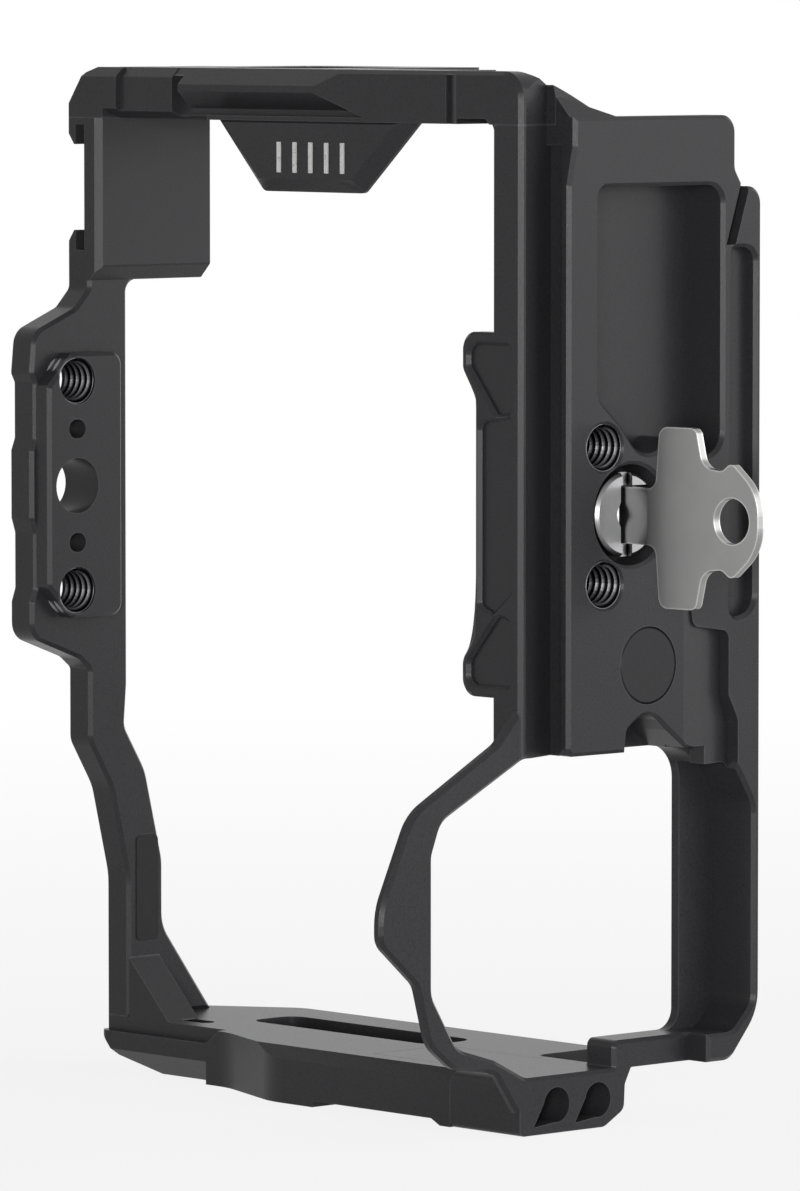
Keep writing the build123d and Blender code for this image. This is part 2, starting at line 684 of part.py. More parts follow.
    # teardrop holes through the foot block
    for index in range(2):
        centre_y = TEAR_FIRST_Y + index * TEAR_PITCH
        with BuildSketch(side_plane(PLATE_T + 1.0)):
            with Locations((centre_y, TEAR_Z)):
                Circle(TEAR_R)
            with BuildLine():
                Polyline(
                    (centre_y + TEAR_TIP[0], TEAR_Z + TEAR_TIP[1]),
                    *[(centre_y + TEAR_R * across, TEAR_Z + TEAR_R * up) for across, up in TEAR_FLANKS],
                    close=True,
                )
            make_face()
        extrude(amount=-(PLATE_T - ARM_JOINT_X + 1.0), mode=Mode.SUBTRACT)
    # pad seats, screw and pin bores
    with BuildSketch(side_plane(0)):
        for spot in BASE_PADS_AT:
            with Locations(spot):
                RectangleRounded(BASE_PAD[0], BASE_PAD[1], BASE_PAD_R)
    extrude(amount=PAD_SEAT, mode=Mode.SUBTRACT)
    add(cap_bores(BASE_SCREWS, BASE_SCREW_SEAT_Z, 1, BASE_SCREW_L), mode=Mode.SUBTRACT)
    add(cap_bores(FOOT_SCREWS, FOOT_SCREW_SEAT_Z, -1, FOOT_SCREW_L), mode=Mode.SUBTRACT)
    add(pin_bores([BASE_PIN], BASE_PIN_Z), mode=Mode.SUBTRACT)
    add(pin_bores([FOOT_PIN], FOOT_PIN_Z), mode=Mode.SUBTRACT)
save("base_plate", base_plate.part)

# ---------------------------------------------------------------------------------------
# Side wall: front band, tab, dovetail block with the port window
# ---------------------------------------------------------------------------------------
with BuildPart() as side_groove:
    with BuildSketch(side_plane(SIDE_UNDERCUT_X[0])):
        with BuildLine():
            Polyline(
                (FRONT_Y - 1.0, SIDE_OUT_Z + 1.0),
                (FRONT_Y + SIDE_CHAMFER + 1.0, SIDE_OUT_Z + 1.0),
                (FRONT_Y, SIDE_OUT_Z - SIDE_CHAMFER),
                (FRONT_Y, SIDE_LAND_Z),
                (FRONT_Y + SIDE_UNDERCUT, SIDE_LAND_Z - SIDE_UNDERCUT),
                (FRONT_Y + SIDE_UNDERCUT, SIDE_LEDGE_Z),
                (FRONT_Y - 1.0, SIDE_LEDGE_Z),
                close=True,
            )
        make_face()
    extrude(amount=SIDE_UNDERCUT_X[1] - SIDE_UNDERCUT_X[0])
    with BuildSketch(front_plane(FRONT_Y + SIDE_UNDERCUT + 1.0)):
        with BuildLine():
            Polyline(
                (SIDE_UNDERCUT_X[0], SIDE_LEDGE_Z - 1.0),
                (SIDE_UNDERCUT_X[1], SIDE_LEDGE_Z - 1.0),
                (SIDE_UNDERCUT_X[1], SIDE_LEDGE_Z),
                (SIDE_LAND_X, SIDE_LAND_Z),
                (SIDE_LAND_X, SIDE_OUT_Z - SIDE_CHAMFER),
                (SIDE_LAND_X + SIDE_RAMP, SIDE_OUT_Z + 1.0),
                (SIDE_UNDERCUT_X[0], SIDE_OUT_Z + 1.0),
                close=True,
            )
        make_face()
    extrude(amount=SIDE_UNDERCUT + 2.0, mode=Mode.INTERSECT)

# the wall's front and base end, bevelled along the front and rounded over the corner
with BuildPart() as wall_envelope:
    for back_y, height, lean in (
        (SIDE_RAIL_REAR_Y, SIDE_RAIL_W - SIDE_CORNER_BREAK, 0),
        (FRONT_Y + SIDE_CORNER_BREAK, SIDE_CORNER_BREAK, 45),
    ):
        with BuildSketch(front_plane(back_y)):
            blank(
                [
                    (BRIDGE_OUT_X - SIDE_T, SIDE_OUT_Z, 0),
                    (PLATE_T, SIDE_OUT_Z, SIDE_CORNER_R),
                    (PLATE_T, 0, 0),
                    (BRIDGE_OUT_X - SIDE_T, 0, 0),
                ]
            )
        extrude(amount=height, taper=lean)

tab_outline = [
    (TAB_TOP_X[0] - TAB_ROOT, BAY_SIDE_Z + TAB_ROOT, 0),
    (TAB_BOTTOM_X[0], TAB_BOTTOM_Z, 1.6),
    (TAB_BOTTOM_X[1], TAB_BOTTOM_Z, 1.6),
    (TAB_TOP_X[1] + TAB_ROOT, BAY_SIDE_Z + TAB_ROOT, 0),
]

with BuildPart() as side_wall:
    with BuildSketch(Plane.XY.offset(BAY_SIDE_Z)):
        blank(
            [
                (PLATE_T, FRONT_Y, 0),
                (PLATE_T, SIDE_CORNER_REAR_Y, 0),
                (SIDE_CORNER_X, SIDE_CORNER_REAR_Y, 2),
                (SIDE_CORNER_X - SIDE_CORNER_RUN, SIDE_BAND_REAR_Y, 3),
                (SIDE_BLOCK_X[1], SIDE_BAND_REAR_Y, 2),
                (SIDE_BLOCK_X[1], SIDE_RAIL_REAR_Y, 3),
                (SIDE_BLOCK_X[0], SIDE_RAIL_REAR_Y, 3),
                (SIDE_BLOCK_X[0], SHOE_REAR_Y, 2),
                (BRIDGE_OUT_X, SHOE_REAR_Y, 1),
                (BRIDGE_OUT_X, FRONT_Y, 0),
            ]
        )
        with Locations(((PORT_X[0] + PORT_X[1]) / 2, (PORT_Y[0] + PORT_Y[1]) / 2)):
            RectangleRounded(PORT_X[1] - PORT_X[0], PORT_Y[1] - PORT_Y[0], PORT_R, mode=Mode.SUBTRACT)
    extrude(amount=SIDE_T)
    # tab that overlaps the camera's front, bevelled all round its face
    for back_y, height, lean in (
        (FRONT_Y + LIP_T, LIP_T - TAB_CHAMFER, 0),
        (FRONT_Y + TAB_CHAMFER, TAB_CHAMFER, 45),
    ):
        with BuildSketch(front_plane(back_y)):
            blank(tab_outline)
        extrude(amount=height, taper=lean)
    # rounded outer corner, with a bevel that follows the front edge round it
    add(wall_envelope.part, mode=Mode.INTERSECT)
    # set-back flat, the cross channel beside it and the dovetail groove
    for left_x, right_x, low_z, high_z, depth in (
        (*FLAT_X, BAY_SIDE_Z - 1.0, SIDE_OUT_Z + 1.0, FLAT_H),
        (FLAT_X[1], CROSS_CHANNEL_X, BAY_SIDE_Z, CROSS_CHANNEL_TOP_Z, SIDE_UNDERCUT),
    ):
        with BuildSketch(front_plane(FRONT_Y)):
            blank([(left_x, low_z, 0), (right_x, low_z, 0), (right_x, high_z, 0), (left_x, high_z, 0)])
        extrude(amount=-depth, mode=Mode.SUBTRACT)
    add(side_groove.part, mode=Mode.SUBTRACT)
    with BuildSketch(side_plane(PLATE_T)):
        with BuildLine():
            Polyline(
                (SLOPE_FRONT_Y, SIDE_OUT_Z),
                (SIDE_CORNER_REAR_Y, SLOPE_REAR_Z),
                (SIDE_CORNER_REAR_Y + 1.0, SLOPE_REAR_Z),
                (SIDE_CORNER_REAR_Y + 1.0, SIDE_OUT_Z + 1.0),
                (SLOPE_FRONT_Y, SIDE_OUT_Z + 1.0),
                close=True,
            )
        make_face()
    extrude(amount=-SLOPE_LENGTH, mode=Mode.SUBTRACT)
    # wide bevel on the top edge beside the groove, set back with the flat
    for start_x, end_x, face_y in (
        (CROSS_CHANNEL_X, BRIDGE_OUT_X, FRONT_Y),
        (CROSS_CHANNEL_X, FLAT_X[0], FRONT_Y + FLAT_H),
    ):
        with BuildSketch(side_plane(start_x)):
            with BuildLine():
                Polyline(
                    (face_y, SIDE_OUT_Z - WIDE_BEVEL),
                    (face_y + WIDE_BEVEL, SIDE_OUT_Z),
                    (FRONT_Y - 1.0, SIDE_OUT_Z),
                    (FRONT_Y - 1.0, SIDE_OUT_Z - WIDE_BEVEL),
                    close=True,
                )
            make_face()
        extrude(amount=end_x - start_x, mode=Mode.SUBTRACT)
    # shallow bevel under the wall, which opens the bay towards the front
    with BuildSketch(side_plane(UNDER_BEVEL_X[1])):
        with BuildLine():
            Polyline(
                (FRONT_Y - 1.0, BAY_SIDE_Z - 1.0),
                (FRONT_Y - 1.0, BAY_SIDE_Z + UNDER_BEVEL[1]),
                (FRONT_Y, BAY_SIDE_Z + UNDER_BEVEL[1]),
                (FRONT_Y + UNDER_BEVEL[0], BAY_SIDE_Z),
                (FRONT_Y + UNDER_BEVEL[0], BAY_SIDE_Z - 1.0),
                close=True,
            )
        make_face()
    extrude(amount=UNDER_BEVEL_X[0] - UNDER_BEVEL_X[1], mode=Mode.SUBTRACT)
    # ramped step in the front face, relief over the lip and the end of the base's groove
    with BuildSketch(Plane.XY.offset(BAY_SIDE_Z)):
        with BuildLine():
            Polyline(
                (STEP_X[0], FRONT_Y),
                (STEP_X[0], FRONT_Y + STEP_H),
                (STEP_X[1], FRONT_Y),
                close=True,
            )
        make_face()
    extrude(amount=SIDE_T - SIDE_CORNER_BREAK, mode=Mode.SUBTRACT)
    with BuildSketch(front_plane(FRONT_Y)):
        with BuildLine():
            Polyline(
                (RELIEF_X[0], BAY_SIDE_Z),
                (RELIEF_X[0], BAY_SIDE_Z + RELIEF_H),
                (RELIEF_X[1] - RELIEF_H, BAY_SIDE_Z + RELIEF_H),
                (RELIEF_X[1], BAY_SIDE_Z),
                close=True,
            )
        make_face()
    extrude(amount=-(SIDE_CORNER_REAR_Y - FRONT_Y), mode=Mode.SUBTRACT)
    add(groove_end.part, mode=Mode.SUBTRACT)
    # outer corner over the shoe
    with BuildSketch(front_plane(FRONT_Y - 1.0)):
        with BuildLine():
            Polyline(
                (BRIDGE_OUT_X - 1.0, SIDE_OUT_Z + 1.0),
                (BRIDGE_OUT_X - 1.0, SIDE_OUT_Z - CORNER_CUT[0][1]),
                *[(BRIDGE_OUT_X + across, SIDE_OUT_Z - down) for across, down in CORNER_CUT],
                (BRIDGE_OUT_X + CORNER_CUT[-1][0], SIDE_OUT_Z + 1.0),
                close=True,
            )
        make_face()
    extrude(amount=-(SHOE_REAR_Y - FRONT_Y + 2.0), mode=Mode.SUBTRACT)
    add(cap_bores(BASE_SCREWS, BASE_SCREW_SEAT_Z, 1, BASE_SCREW_L), mode=Mode.SUBTRACT)
    add(cap_bores(SHOE_SCREWS, SHOE_SCREW_SEAT_Z, 1, SHOE_SCREW_L), mode=Mode.SUBTRACT)
    add(pin_bores([BASE_PIN], BASE_PIN_Z), mode=Mode.SUBTRACT)
    add(pin_bores([SHOE_PIN], SHOE_PIN_Z), mode=Mode.SUBTRACT)
save("side_wall", side_wall.part)

# ---------------------------------------------------------------------------------------
# Top bridge: cold shoe block, arch and lower rail
# ---------------------------------------------------------------------------------------
bridge_outline = [
    (FRONT_Y, BAY_SIDE_Z, 0),
    (FRONT_Y, 29.9, 1.5),
    (-20.6, 27.1, 1.5),
    (ARCH_FRONT_Y + 0.6, 23.7, 3.0),
    (ARCH_FRONT_Y, 17.6, 1.0),
    (ARCH_FRONT_Y + ARCH_SCALLOP, 16.2, 1.0),
    (ARCH_FRONT_Y + ARCH_SCALLOP, 8.0, 1.0),
    (ARCH_FRONT_Y, 6.2, 1.0),
    (ARCH_FRONT_Y, -3.8, 1.0),
    (ARCH_FRONT_Y + ARCH_SCALLOP, -6.0, 1.0),
    (ARCH_FRONT_Y + ARCH_SCALLOP, -14.2, 1.0),
    (ARCH_FRONT_Y, -16.2, 1.0),
    (ARCH_FRONT_Y, -21.4, 3.0),
    (-20.0, -24.9, 2.0),
    (FRONT_Y, -26.6, 1.0),
    (FRONT_Y, -37.4, 3.0),
    (-13.8, -44.5, 8.0),
    (LOWER_RAIL_FRONT_Y, -58.0, 12.0),
    (LOWER_RAIL_FRONT_Y, BAY_GRIP_Z, 0),
    (LOWER_FOOT_REAR_Y, BAY_GRIP_Z, 0),
    (LOWER_RAIL_FRONT_Y + SLIM_RAIL_W, -66.0, 6.0),
    (LOWER_RAIL_FRONT_Y + SLIM_RAIL_W, -56.0, 8.0),
    (-6.9, -42.4, 8.0),
    (ARCH_REAR_Y - 0.5, -35.6, 3.0),
    (ARCH_REAR_Y, -29.3, 2.0),
    (ARCH_REAR_Y, SHOE_BLOCK_Z, 2.0),
    (SHOE_REAR_Y, SHOE_BLOCK_Z, 1.0),
    (SHOE_REAR_Y, BAY_SIDE_Z, 0),
]

with BuildPart() as top_bridge:
    for start_x, height, lean in ((BRIDGE_OUT_X, BRIDGE_T - BREAK, 0), (BRIDGE_IN_X - BREAK, BREAK, 45)):
        with BuildSketch(side_plane(start_x)):
            blank(bridge_outline)
        extrude(amount=height, taper=lean)
    # shoe block, thicker than the bridge towards the camera
    with BuildSketch(front_plane(FRONT_Y)):
        blank(
            [
                (BRIDGE_OUT_X, BAY_SIDE_Z, 0),
                (BAY_TOP_X, BAY_SIDE_Z, 0),
                (BAY_TOP_X, SHOE_BLOCK_Z + BAY_TOP_X - BRIDGE_IN_X, 0.5),
                (BRIDGE_IN_X, SHOE_BLOCK_Z, 0.5),
                (BRIDGE_OUT_X, SHOE_BLOCK_Z, 0),
            ]
        )
    extrude(amount=-(SHOE_REAR_Y - FRONT_Y))
    with BuildSketch(front_plane(FRONT_Y)):
        with Locations((BRIDGE_OUT_X + SHOE_LIP_T + SHOE_SLOT_H / 2, SHOE_CENTRE_Z)):
            Rectangle(SHOE_SLOT_H, SHOE_W)
        blank(
            [
                (BRIDGE_OUT_X + SHOE_LIP_T, SHOE_CENTRE_Z - SHOE_MOUTH_W / 2, 0),
                (BRIDGE_OUT_X + SHOE_LIP_T - SHOE_LIP_LAND, SHOE_CENTRE_Z - SHOE_MOUTH_W / 2, 0),
                (BRIDGE_OUT_X, SHOE_CENTRE_Z - SHOE_MOUTH_W / 2 - SHOE_MOUTH_BREAK, 0),
                (BRIDGE_OUT_X, SHOE_CENTRE_Z + SHOE_MOUTH_W / 2 + SHOE_MOUTH_BREAK, 0),
                (BRIDGE_OUT_X + SHOE_LIP_T - SHOE_LIP_LAND, SHOE_CENTRE_Z + SHOE_MOUTH_W / 2, 0),
                (BRIDGE_OUT_X + SHOE_LIP_T, SHOE_CENTRE_Z + SHOE_MOUTH_W / 2, 0),
            ]
        )
    extrude(amount=-SHOE_LENGTH, mode=Mode.SUBTRACT)
    with BuildSketch(Plane.XY.offset(SHOE_BLOCK_Z)):
        with BuildLine():
            Polyline(
                (BAY_TOP_X - SHOE_BEVEL, FRONT_Y),
                (BAY_TOP_X, FRONT_Y + SHOE_BEVEL),
                (BAY_TOP_X, FRONT_Y),
                close=True,
            )
        make_face()
    extrude(amount=BAY_SIDE_Z - SHOE_BLOCK_Z, mode=Mode.SUBTRACT)
    # boss on the inner side of the arch
    with BuildSketch(side_plane(BRIDGE_IN_X)):
        blank(
            [
                (BOSS_FRONT_Y, ARCH_CENTRE_Z + BOSS_FRONT_HALF_L, 1.0),
                (BOSS_FRONT_Y + BOSS_TAPER, ARCH_CENTRE_Z + BOSS_HALF_L, 1.5),
                (BOSS_REAR_Y, ARCH_CENTRE_Z + BOSS_HALF_L, 2.0),
                (BOSS_REAR_Y, ARCH_CENTRE_Z - BOSS_HALF_L, 2.0),
                (BOSS_FRONT_Y + BOSS_TAPER, ARCH_CENTRE_Z - BOSS_HALF_L, 1.5),
                (BOSS_FRONT_Y, ARCH_CENTRE_Z - BOSS_FRONT_HALF_L, 1.0),
            ]
        )
    extrude(amount=BOSS_H)
    boss_rim = top_bridge.edges().group_by(Axis.X)[-1].filter_by_position(
        Axis.Z, ARCH_CENTRE_Z - BOSS_HALF_L - 1.0, ARCH_CENTRE_Z + BOSS_HALF_L + 1.0
    )
    chamfer(boss_rim, length=BREAK)
    # accessory holes: one large thread, two small ones with inserts, two pin slots
    with BuildSketch(side_plane(BRIDGE_IN_X + BOSS_H)):
        with Locations((ARCH_HOLE_Y, ARCH_CENTRE_Z)):
            Circle(ARRI_BORE_D / 2)
        with Locations(*[(ARCH_HOLE_Y, ARCH_CENTRE_Z + side * ARCH_HOLE_OFFSET) for side in (1, -1)]):
            Circle(QUARTER_TAP_D / 2)
        with Locations(*[(ARCH_HOLE_Y, ARCH_CENTRE_Z + side * PIN_SLOT_OFFSET) for side in (1, -1)]):
            SlotOverall(PIN_SLOT[0], PIN_SLOT[1])
    extrude(amount=-(BRIDGE_T + BOSS_H), mode=Mode.SUBTRACT)
    add(cap_bores(SHOE_SCREWS, SHOE_SCREW_SEAT_Z, 1, SHOE_SCREW_L), mode=Mode.SUBTRACT)
    add(cap_bores(RAIL_SCREWS, RAIL_SCREW_SEAT_Z, -1, RAIL_SCREW_L), mode=Mode.SUBTRACT)
    add(pin_bores([SHOE_PIN], SHOE_PIN_Z), mode=Mode.SUBTRACT)
    add(pin_bores([RAIL_PIN], RAIL_PIN_Z), mode=Mode.SUBTRACT)
    with BuildSketch(side_plane(BRIDGE_IN_X)):
        with Locations(BRIDGE_PAD_AT):
            RectangleRounded(BRIDGE_PAD[0], BRIDGE_PAD[1], BRIDGE_PAD_R)
    extrude(amount=-PAD_SEAT, mode=Mode.SUBTRACT)
save("top_bridge", top_bridge.part)

# ---------------------------------------------------------------------------------------
# Grip arm: the foot the cage stands on
# ---------------------------------------------------------------------------------------
with BuildPart() as grip_arm:
    with BuildSketch(Plane.XY.offset(FOOT_Z)):
        blank(
            [
                (ARM_JOINT_X, FRONT_Y, 0),
                (ARM_CURVE_X[0], FRONT_Y, ARM_CURVE_R),
                (ARM_CURVE_X[1], NOSE_FRONT_Y, ARM_CURVE_R),
                (BRIDGE_OUT_X, NOSE_FRONT_Y, 1.5),
                (BRIDGE_OUT_X, LOWER_FOOT_REAR_Y, 2.0),
                (ARM_REAR_X, ARM_REAR_Y, ARM_REAR_R),
                (ARM_STEP_X, ARM_REAR_Y, 3.0),
                (ARM_STEP_X, ARM_JOINT_REAR_Y, 2.0),
                (ARM_JOINT_X, ARM_JOINT_REAR_Y, 0),
            ]
        )
        with Locations(ARM_WINDOW_AT):
            RectangleRounded(ARM_WINDOW[0], ARM_WINDOW[1], ARM_WINDOW_R, mode=Mode.SUBTRACT)
    extrude(amount=BAY_GRIP_Z - FOOT_Z)
    # bevel along the top front edge
    with BuildSketch(side_plane(ARM_JOINT_X)):
        with BuildLine():
            Polyline(
                (FRONT_Y - 1.0, BAY_GRIP_Z - ARM_BEVEL - 1.0),
                (FRONT_Y + ARM_BEVEL + 1.0, BAY_GRIP_Z + 1.0),
                (FRONT_Y - 1.0, BAY_GRIP_Z + 1.0),
                close=True,
            )
        make_face()
    extrude(amount=-ARM_BEVEL_L, mode=Mode.SUBTRACT)
    # underside: shallow recess, rib left standing, raised nose
    with BuildSketch(front_plane(FRONT_Y - 1.0)):
        with BuildLine():
            Polyline(
                (ARM_RECESS_X[0], FOOT_Z - 1.0),
                (ARM_RECESS_X[0], FOOT_Z + ARM_RECESS),
                (ARM_RECESS_X[1], FOOT_Z + ARM_RECESS),
                (ARM_RECESS_X[1] + ARM_RECESS_RUN, FOOT_Z - 1.0),
                close=True,
            )
        make_face()
    extrude(amount=-(ARM_REAR_Y - FRONT_Y + 2.0), mode=Mode.SUBTRACT)
    # the nose stands lower than the camera's seat
    with BuildSketch(front_plane(NOSE_FRONT_Y - 1.0)):
        with BuildLine():
            Polyline(
                (BRIDGE_OUT_X - 1.0, NOSE_TOP_Z),
                (NOSE_BEVEL_X, NOSE_TOP_Z),
                (NOSE_BEVEL_X + NOSE_RUN, BAY_GRIP_Z + 1.0),
                (BRIDGE_OUT_X - 1.0, BAY_GRIP_Z + 1.0),
                close=True,
            )
        make_face()
    extrude(amount=-(LOWER_RAIL_FRONT_Y - NOSE_FRONT_Y + 1.0), mode=Mode.SUBTRACT)
    # nose bevel and strap slot
    with BuildSketch(side_plane(NOSE_BEVEL_X)):
        with BuildLine():
            Polyline(
                (NOSE_FRONT_Y - 1.0, FOOT_Z + NOSE_BEVEL + 1.0),
                (NOSE_FRONT_Y + NOSE_BEVEL, FOOT_Z),
                (NOSE_FRONT_Y + NOSE_BEVEL, FOOT_Z - 1.0),
                (NOSE_FRONT_Y - 1.0, FOOT_Z - 1.0),
                close=True,
            )
        make_face()
    extrude(amount=BRIDGE_OUT_X - NOSE_BEVEL_X, mode=Mode.SUBTRACT)
    with BuildSketch(Plane.XY.offset(FOOT_Z)):
        with Locations(STRAP_SLOT_AT):
            SlotOverall(STRAP_SLOT[0], STRAP_SLOT[1])
    extrude(amount=BAY_GRIP_Z - FOOT_Z, mode=Mode.SUBTRACT)
    with BuildSketch(front_plane(NOSE_FRONT_Y)):
        with BuildLine():
            Polyline(
                (BRIDGE_OUT_X, FOOT_Z),
                *[(BRIDGE_OUT_X + along, FOOT_Z + up) for along, up in NOSE_END],
                close=True,
            )
        make_face()
    extrude(amount=NOSE_FRONT_Y - LOWER_FOOT_REAR_Y, mode=Mode.SUBTRACT)
    # gusset against the bridge's lower rail
    with BuildSketch(front_plane(LOWER_RAIL_FRONT_Y)):
        with BuildLine():
            Polyline(
                (BRIDGE_IN_X, BAY_GRIP_Z),
                (BRIDGE_IN_X, BAY_GRIP_Z + GUSSET),
                (BRIDGE_IN_X + GUSSET, BAY_GRIP_Z),
                close=True,
            )
        make_face()
    extrude(amount=-GUSSET_T)
    # pocket for the base plate's tongue
    with BuildSketch(Plane.XY.offset(TONGUE_Z - TONGUE_GAP)):
        with Locations(((TONGUE_X + ARM_JOINT_X) / 2, (TONGUE_Y[0] + TONGUE_Y[1]) / 2)):
            Rectangle(ARM_JOINT_X - TONGUE_X + 2 * TONGUE_GAP, TONGUE_Y[1] - TONGUE_Y[0] + 2 * TONGUE_GAP)
    extrude(amount=BAY_GRIP_Z - TONGUE_Z + 2 * TONGUE_GAP, mode=Mode.SUBTRACT)
    add(cap_bores(RAIL_SCREWS, RAIL_SCREW_SEAT_Z, -1, RAIL_SCREW_L), mode=Mode.SUBTRACT)
    add(cap_bores(FOOT_SCREWS, FOOT_SCREW_SEAT_Z, -1, FOOT_SCREW_L), mode=Mode.SUBTRACT)
    add(pin_bores([RAIL_PIN], RAIL_PIN_Z), mode=Mode.SUBTRACT)
    add(pin_bores([FOOT_PIN], FOOT_PIN_Z), mode=Mode.SUBTRACT)
save("grip_arm", grip_arm.part)

# ---------------------------------------------------------------------------------------
# Frame screws and locating pins
# ---------------------------------------------------------------------------------------
save("base_corner_screws", cap_screws(BASE_SCREWS, BASE_SCREW_SEAT_Z, 1, BASE_SCREW_L))
save("shoe_corner_screws", cap_screws(SHOE_SCREWS, SHOE_SCREW_SEAT_Z, 1, SHOE_SCREW_L))
save("rail_corner_screws", cap_screws(RAIL_SCREWS, RAIL_SCREW_SEAT_Z, -1, RAIL_SCREW_L))
save("foot_screws", cap_screws(FOOT_SCREWS, FOOT_SCREW_SEAT_Z, -1, FOOT_SCREW_L))

with BuildPart() as locating_pins:
    for point, bottom_z in (
        (BASE_PIN, BASE_PIN_Z),
        (SHOE_PIN, SHOE_PIN_Z),
        (RAIL_PIN, RAIL_PIN_Z),
        (FOOT_PIN, FOOT_PIN_Z),
    ):
        with BuildSketch(Plane.XY.offset(bottom_z)):
            with Locations(point):
                Circle(DOWEL_D / 2)
        extrude(amount=DOWEL_L)
save("locating_pins", locating_pins.part)

# ---------------------------------------------------------------------------------------
# Thread inserts, key magnet, pads and the tab's marking
# ---------------------------------------------------------------------------------------
with BuildPart() as base_thread_inserts:
    with BuildSketch(side_plane(FACE_X - INSERT_SINK)):
        with Locations((THREAD_Y, THREAD_Z), (THREAD_Y, -THREAD_Z)):
            Circle(QUARTER_TAP_D / 2)
            Circle(QUARTER_BORE_D / 2, mode=Mode.SUBTRACT)
    extrude(amount=-(THREAD_DEPTH - INSERT_SINK - BORE_END_GAP))
save("base_thread_inserts", base_thread_inserts.part)

with BuildPart() as bridge_thread_inserts:
    with BuildSketch(side_plane(BRIDGE_IN_X + BOSS_H - INSERT_SINK)):
        with Locations(*[(ARCH_HOLE_Y, ARCH_CENTRE_Z + side * ARCH_HOLE_OFFSET) for side in (1, -1)]):
            Circle(QUARTER_TAP_D / 2)
            Circle(QUARTER_BORE_D / 2, mode=Mode.SUBTRACT)
    extrude(amount=-(BRIDGE_T + BOSS_H - 2 * INSERT_SINK))
save("bridge_thread_inserts", bridge_thread_inserts.part)

with BuildPart() as key_magnet:
    with BuildSketch(side_plane(FACE_X - MAGNET_T)):
        with Locations(MAGNET_AT):
            Circle(MAGNET_D / 2 - MAGNET_GAP)
    extrude(amount=MAGNET_T)
    chamfer(key_magnet.edges().group_by(Axis.X)[-1], length=MAGNET_BREAK)
save("key_magnet", key_magnet.part)

with BuildPart() as base_pad:
    with BuildSketch(side_plane(PAD_SEAT)):
        for spot in BASE_PADS_AT:
            with Locations(spot):
                RectangleRounded(BASE_PAD[0], BASE_PAD[1], BASE_PAD_R)
    extrude(amount=-PAD_T)
save("base_pads", base_pad.part)

with BuildPart() as bridge_pad:
    with BuildSketch(side_plane(BRIDGE_IN_X - PAD_SEAT)):
        with Locations(BRIDGE_PAD_AT):
            RectangleRounded(BRIDGE_PAD[0], BRIDGE_PAD[1], BRIDGE_PAD_R)
    extrude(amount=PAD_T)
save("bridge_pad", bridge_pad.part)

with BuildPart() as tab_marking:
    with BuildSketch(front_plane(FRONT_Y)):
        with Locations(MARK_CENTRE):
            with GridLocations(MARK_PITCH, MARK_H, MARK_COUNT, 1):
                Rectangle(MARK_W, MARK_H)
    extrude(amount=MARK_T)
save("tab_marking", tab_marking.part)

# ---------------------------------------------------------------------------------------
# Camera screw with its washer, clip, pin and folding handle
# ---------------------------------------------------------------------------------------
with BuildPart() as friction_washer:
    with BuildSketch(side_plane(WEB_OUT_X + WASHER_PLAY)):
        Circle(HEAD_D / 2)
        Circle(SCREW_D / 2 + RUN_GAP, mode=Mode.SUBTRACT)
    extrude(amount=WASHER_T)
save("friction_washer", friction_washer.part)

with BuildPart() as retaining_clip:
    with BuildSketch(side_plane(CLIP_X)):
        Circle(CLIP_D / 2)
        Circle(NECK_D / 2 + RUN_GAP, mode=Mode.SUBTRACT)
        with Locations((0, -CLIP_D / 2)):
            Rectangle(CLIP_GAP_W, CLIP_D, mode=Mode.SUBTRACT)
    extrude(amount=CLIP_T)
save("retaining_clip", retaining_clip.part)

with BuildPart() as camera_screw:
    with BuildSketch(side_plane(HEAD_SEAT_X)):
        Circle(HEAD_D / 2)
    extrude(amount=HEAD_T)
    chamfer(camera_screw.edges().group_by(Axis.X)[-1], length=HEAD_BREAK)
    with BuildSketch(side_plane(HEAD_SEAT_X)):
        Circle(SCREW_D / 2)
    extrude(amount=-(HEAD_SEAT_X + SCREW_REACH))
    chamfer(camera_screw.edges().group_by(Axis.X)[0], length=TIP_BREAK)
    with BuildSketch(side_plane(CLIP_X - CLIP_PLAY)):
        Circle(SCREW_D / 2 + 1.0)
        Circle(NECK_D / 2, mode=Mode.SUBTRACT)
    extrude(amount=CLIP_T + 2 * CLIP_PLAY, mode=Mode.SUBTRACT)
    # coin slot, key socket, and the channel the handle folds into
    with BuildSketch(side_plane(HEAD_OUT_X)):
        Rectangle(SCREW_SLOT_W, HEAD_D + 1.0)
    extrude(amount=-SCREW_SLOT_H, mode=Mode.SUBTRACT)
    with BuildSketch(side_plane(HEAD_OUT_X)):
        RegularPolygon(SCREW_HEX / 2, 6, major_radius=False)
    extrude(amount=-SCREW_HEX_H, mode=Mode.SUBTRACT)
    with BuildSketch(side_plane(HEAD_OUT_X)):
        with Locations(((CHANNEL_END_Y - CHANNEL_BACK) / 2, 0)):
            Rectangle(CHANNEL_END_Y + CHANNEL_BACK, HANDLE_NECK_W + 2 * CHANNEL_SIDE_GAP)
    extrude(amount=-(HEAD_OUT_X - CHANNEL_FLOOR_X), mode=Mode.SUBTRACT)
    with BuildSketch(Plane.XY.offset(-PIN_L / 2)):
        with Locations((PIVOT_X, 0)):
            Circle(PIN_D / 2)
    extrude(amount=PIN_L, mode=Mode.SUBTRACT)
save("camera_screw", camera_screw.part)

with BuildPart() as handle_pin:
    with BuildSketch(Plane.XY.offset(-PIN_L / 2)):
        with Locations((PIVOT_X, 0)):
            Circle(PIN_D / 2)
    extrude(amount=PIN_L)
save("handle_pin", handle_pin.part)

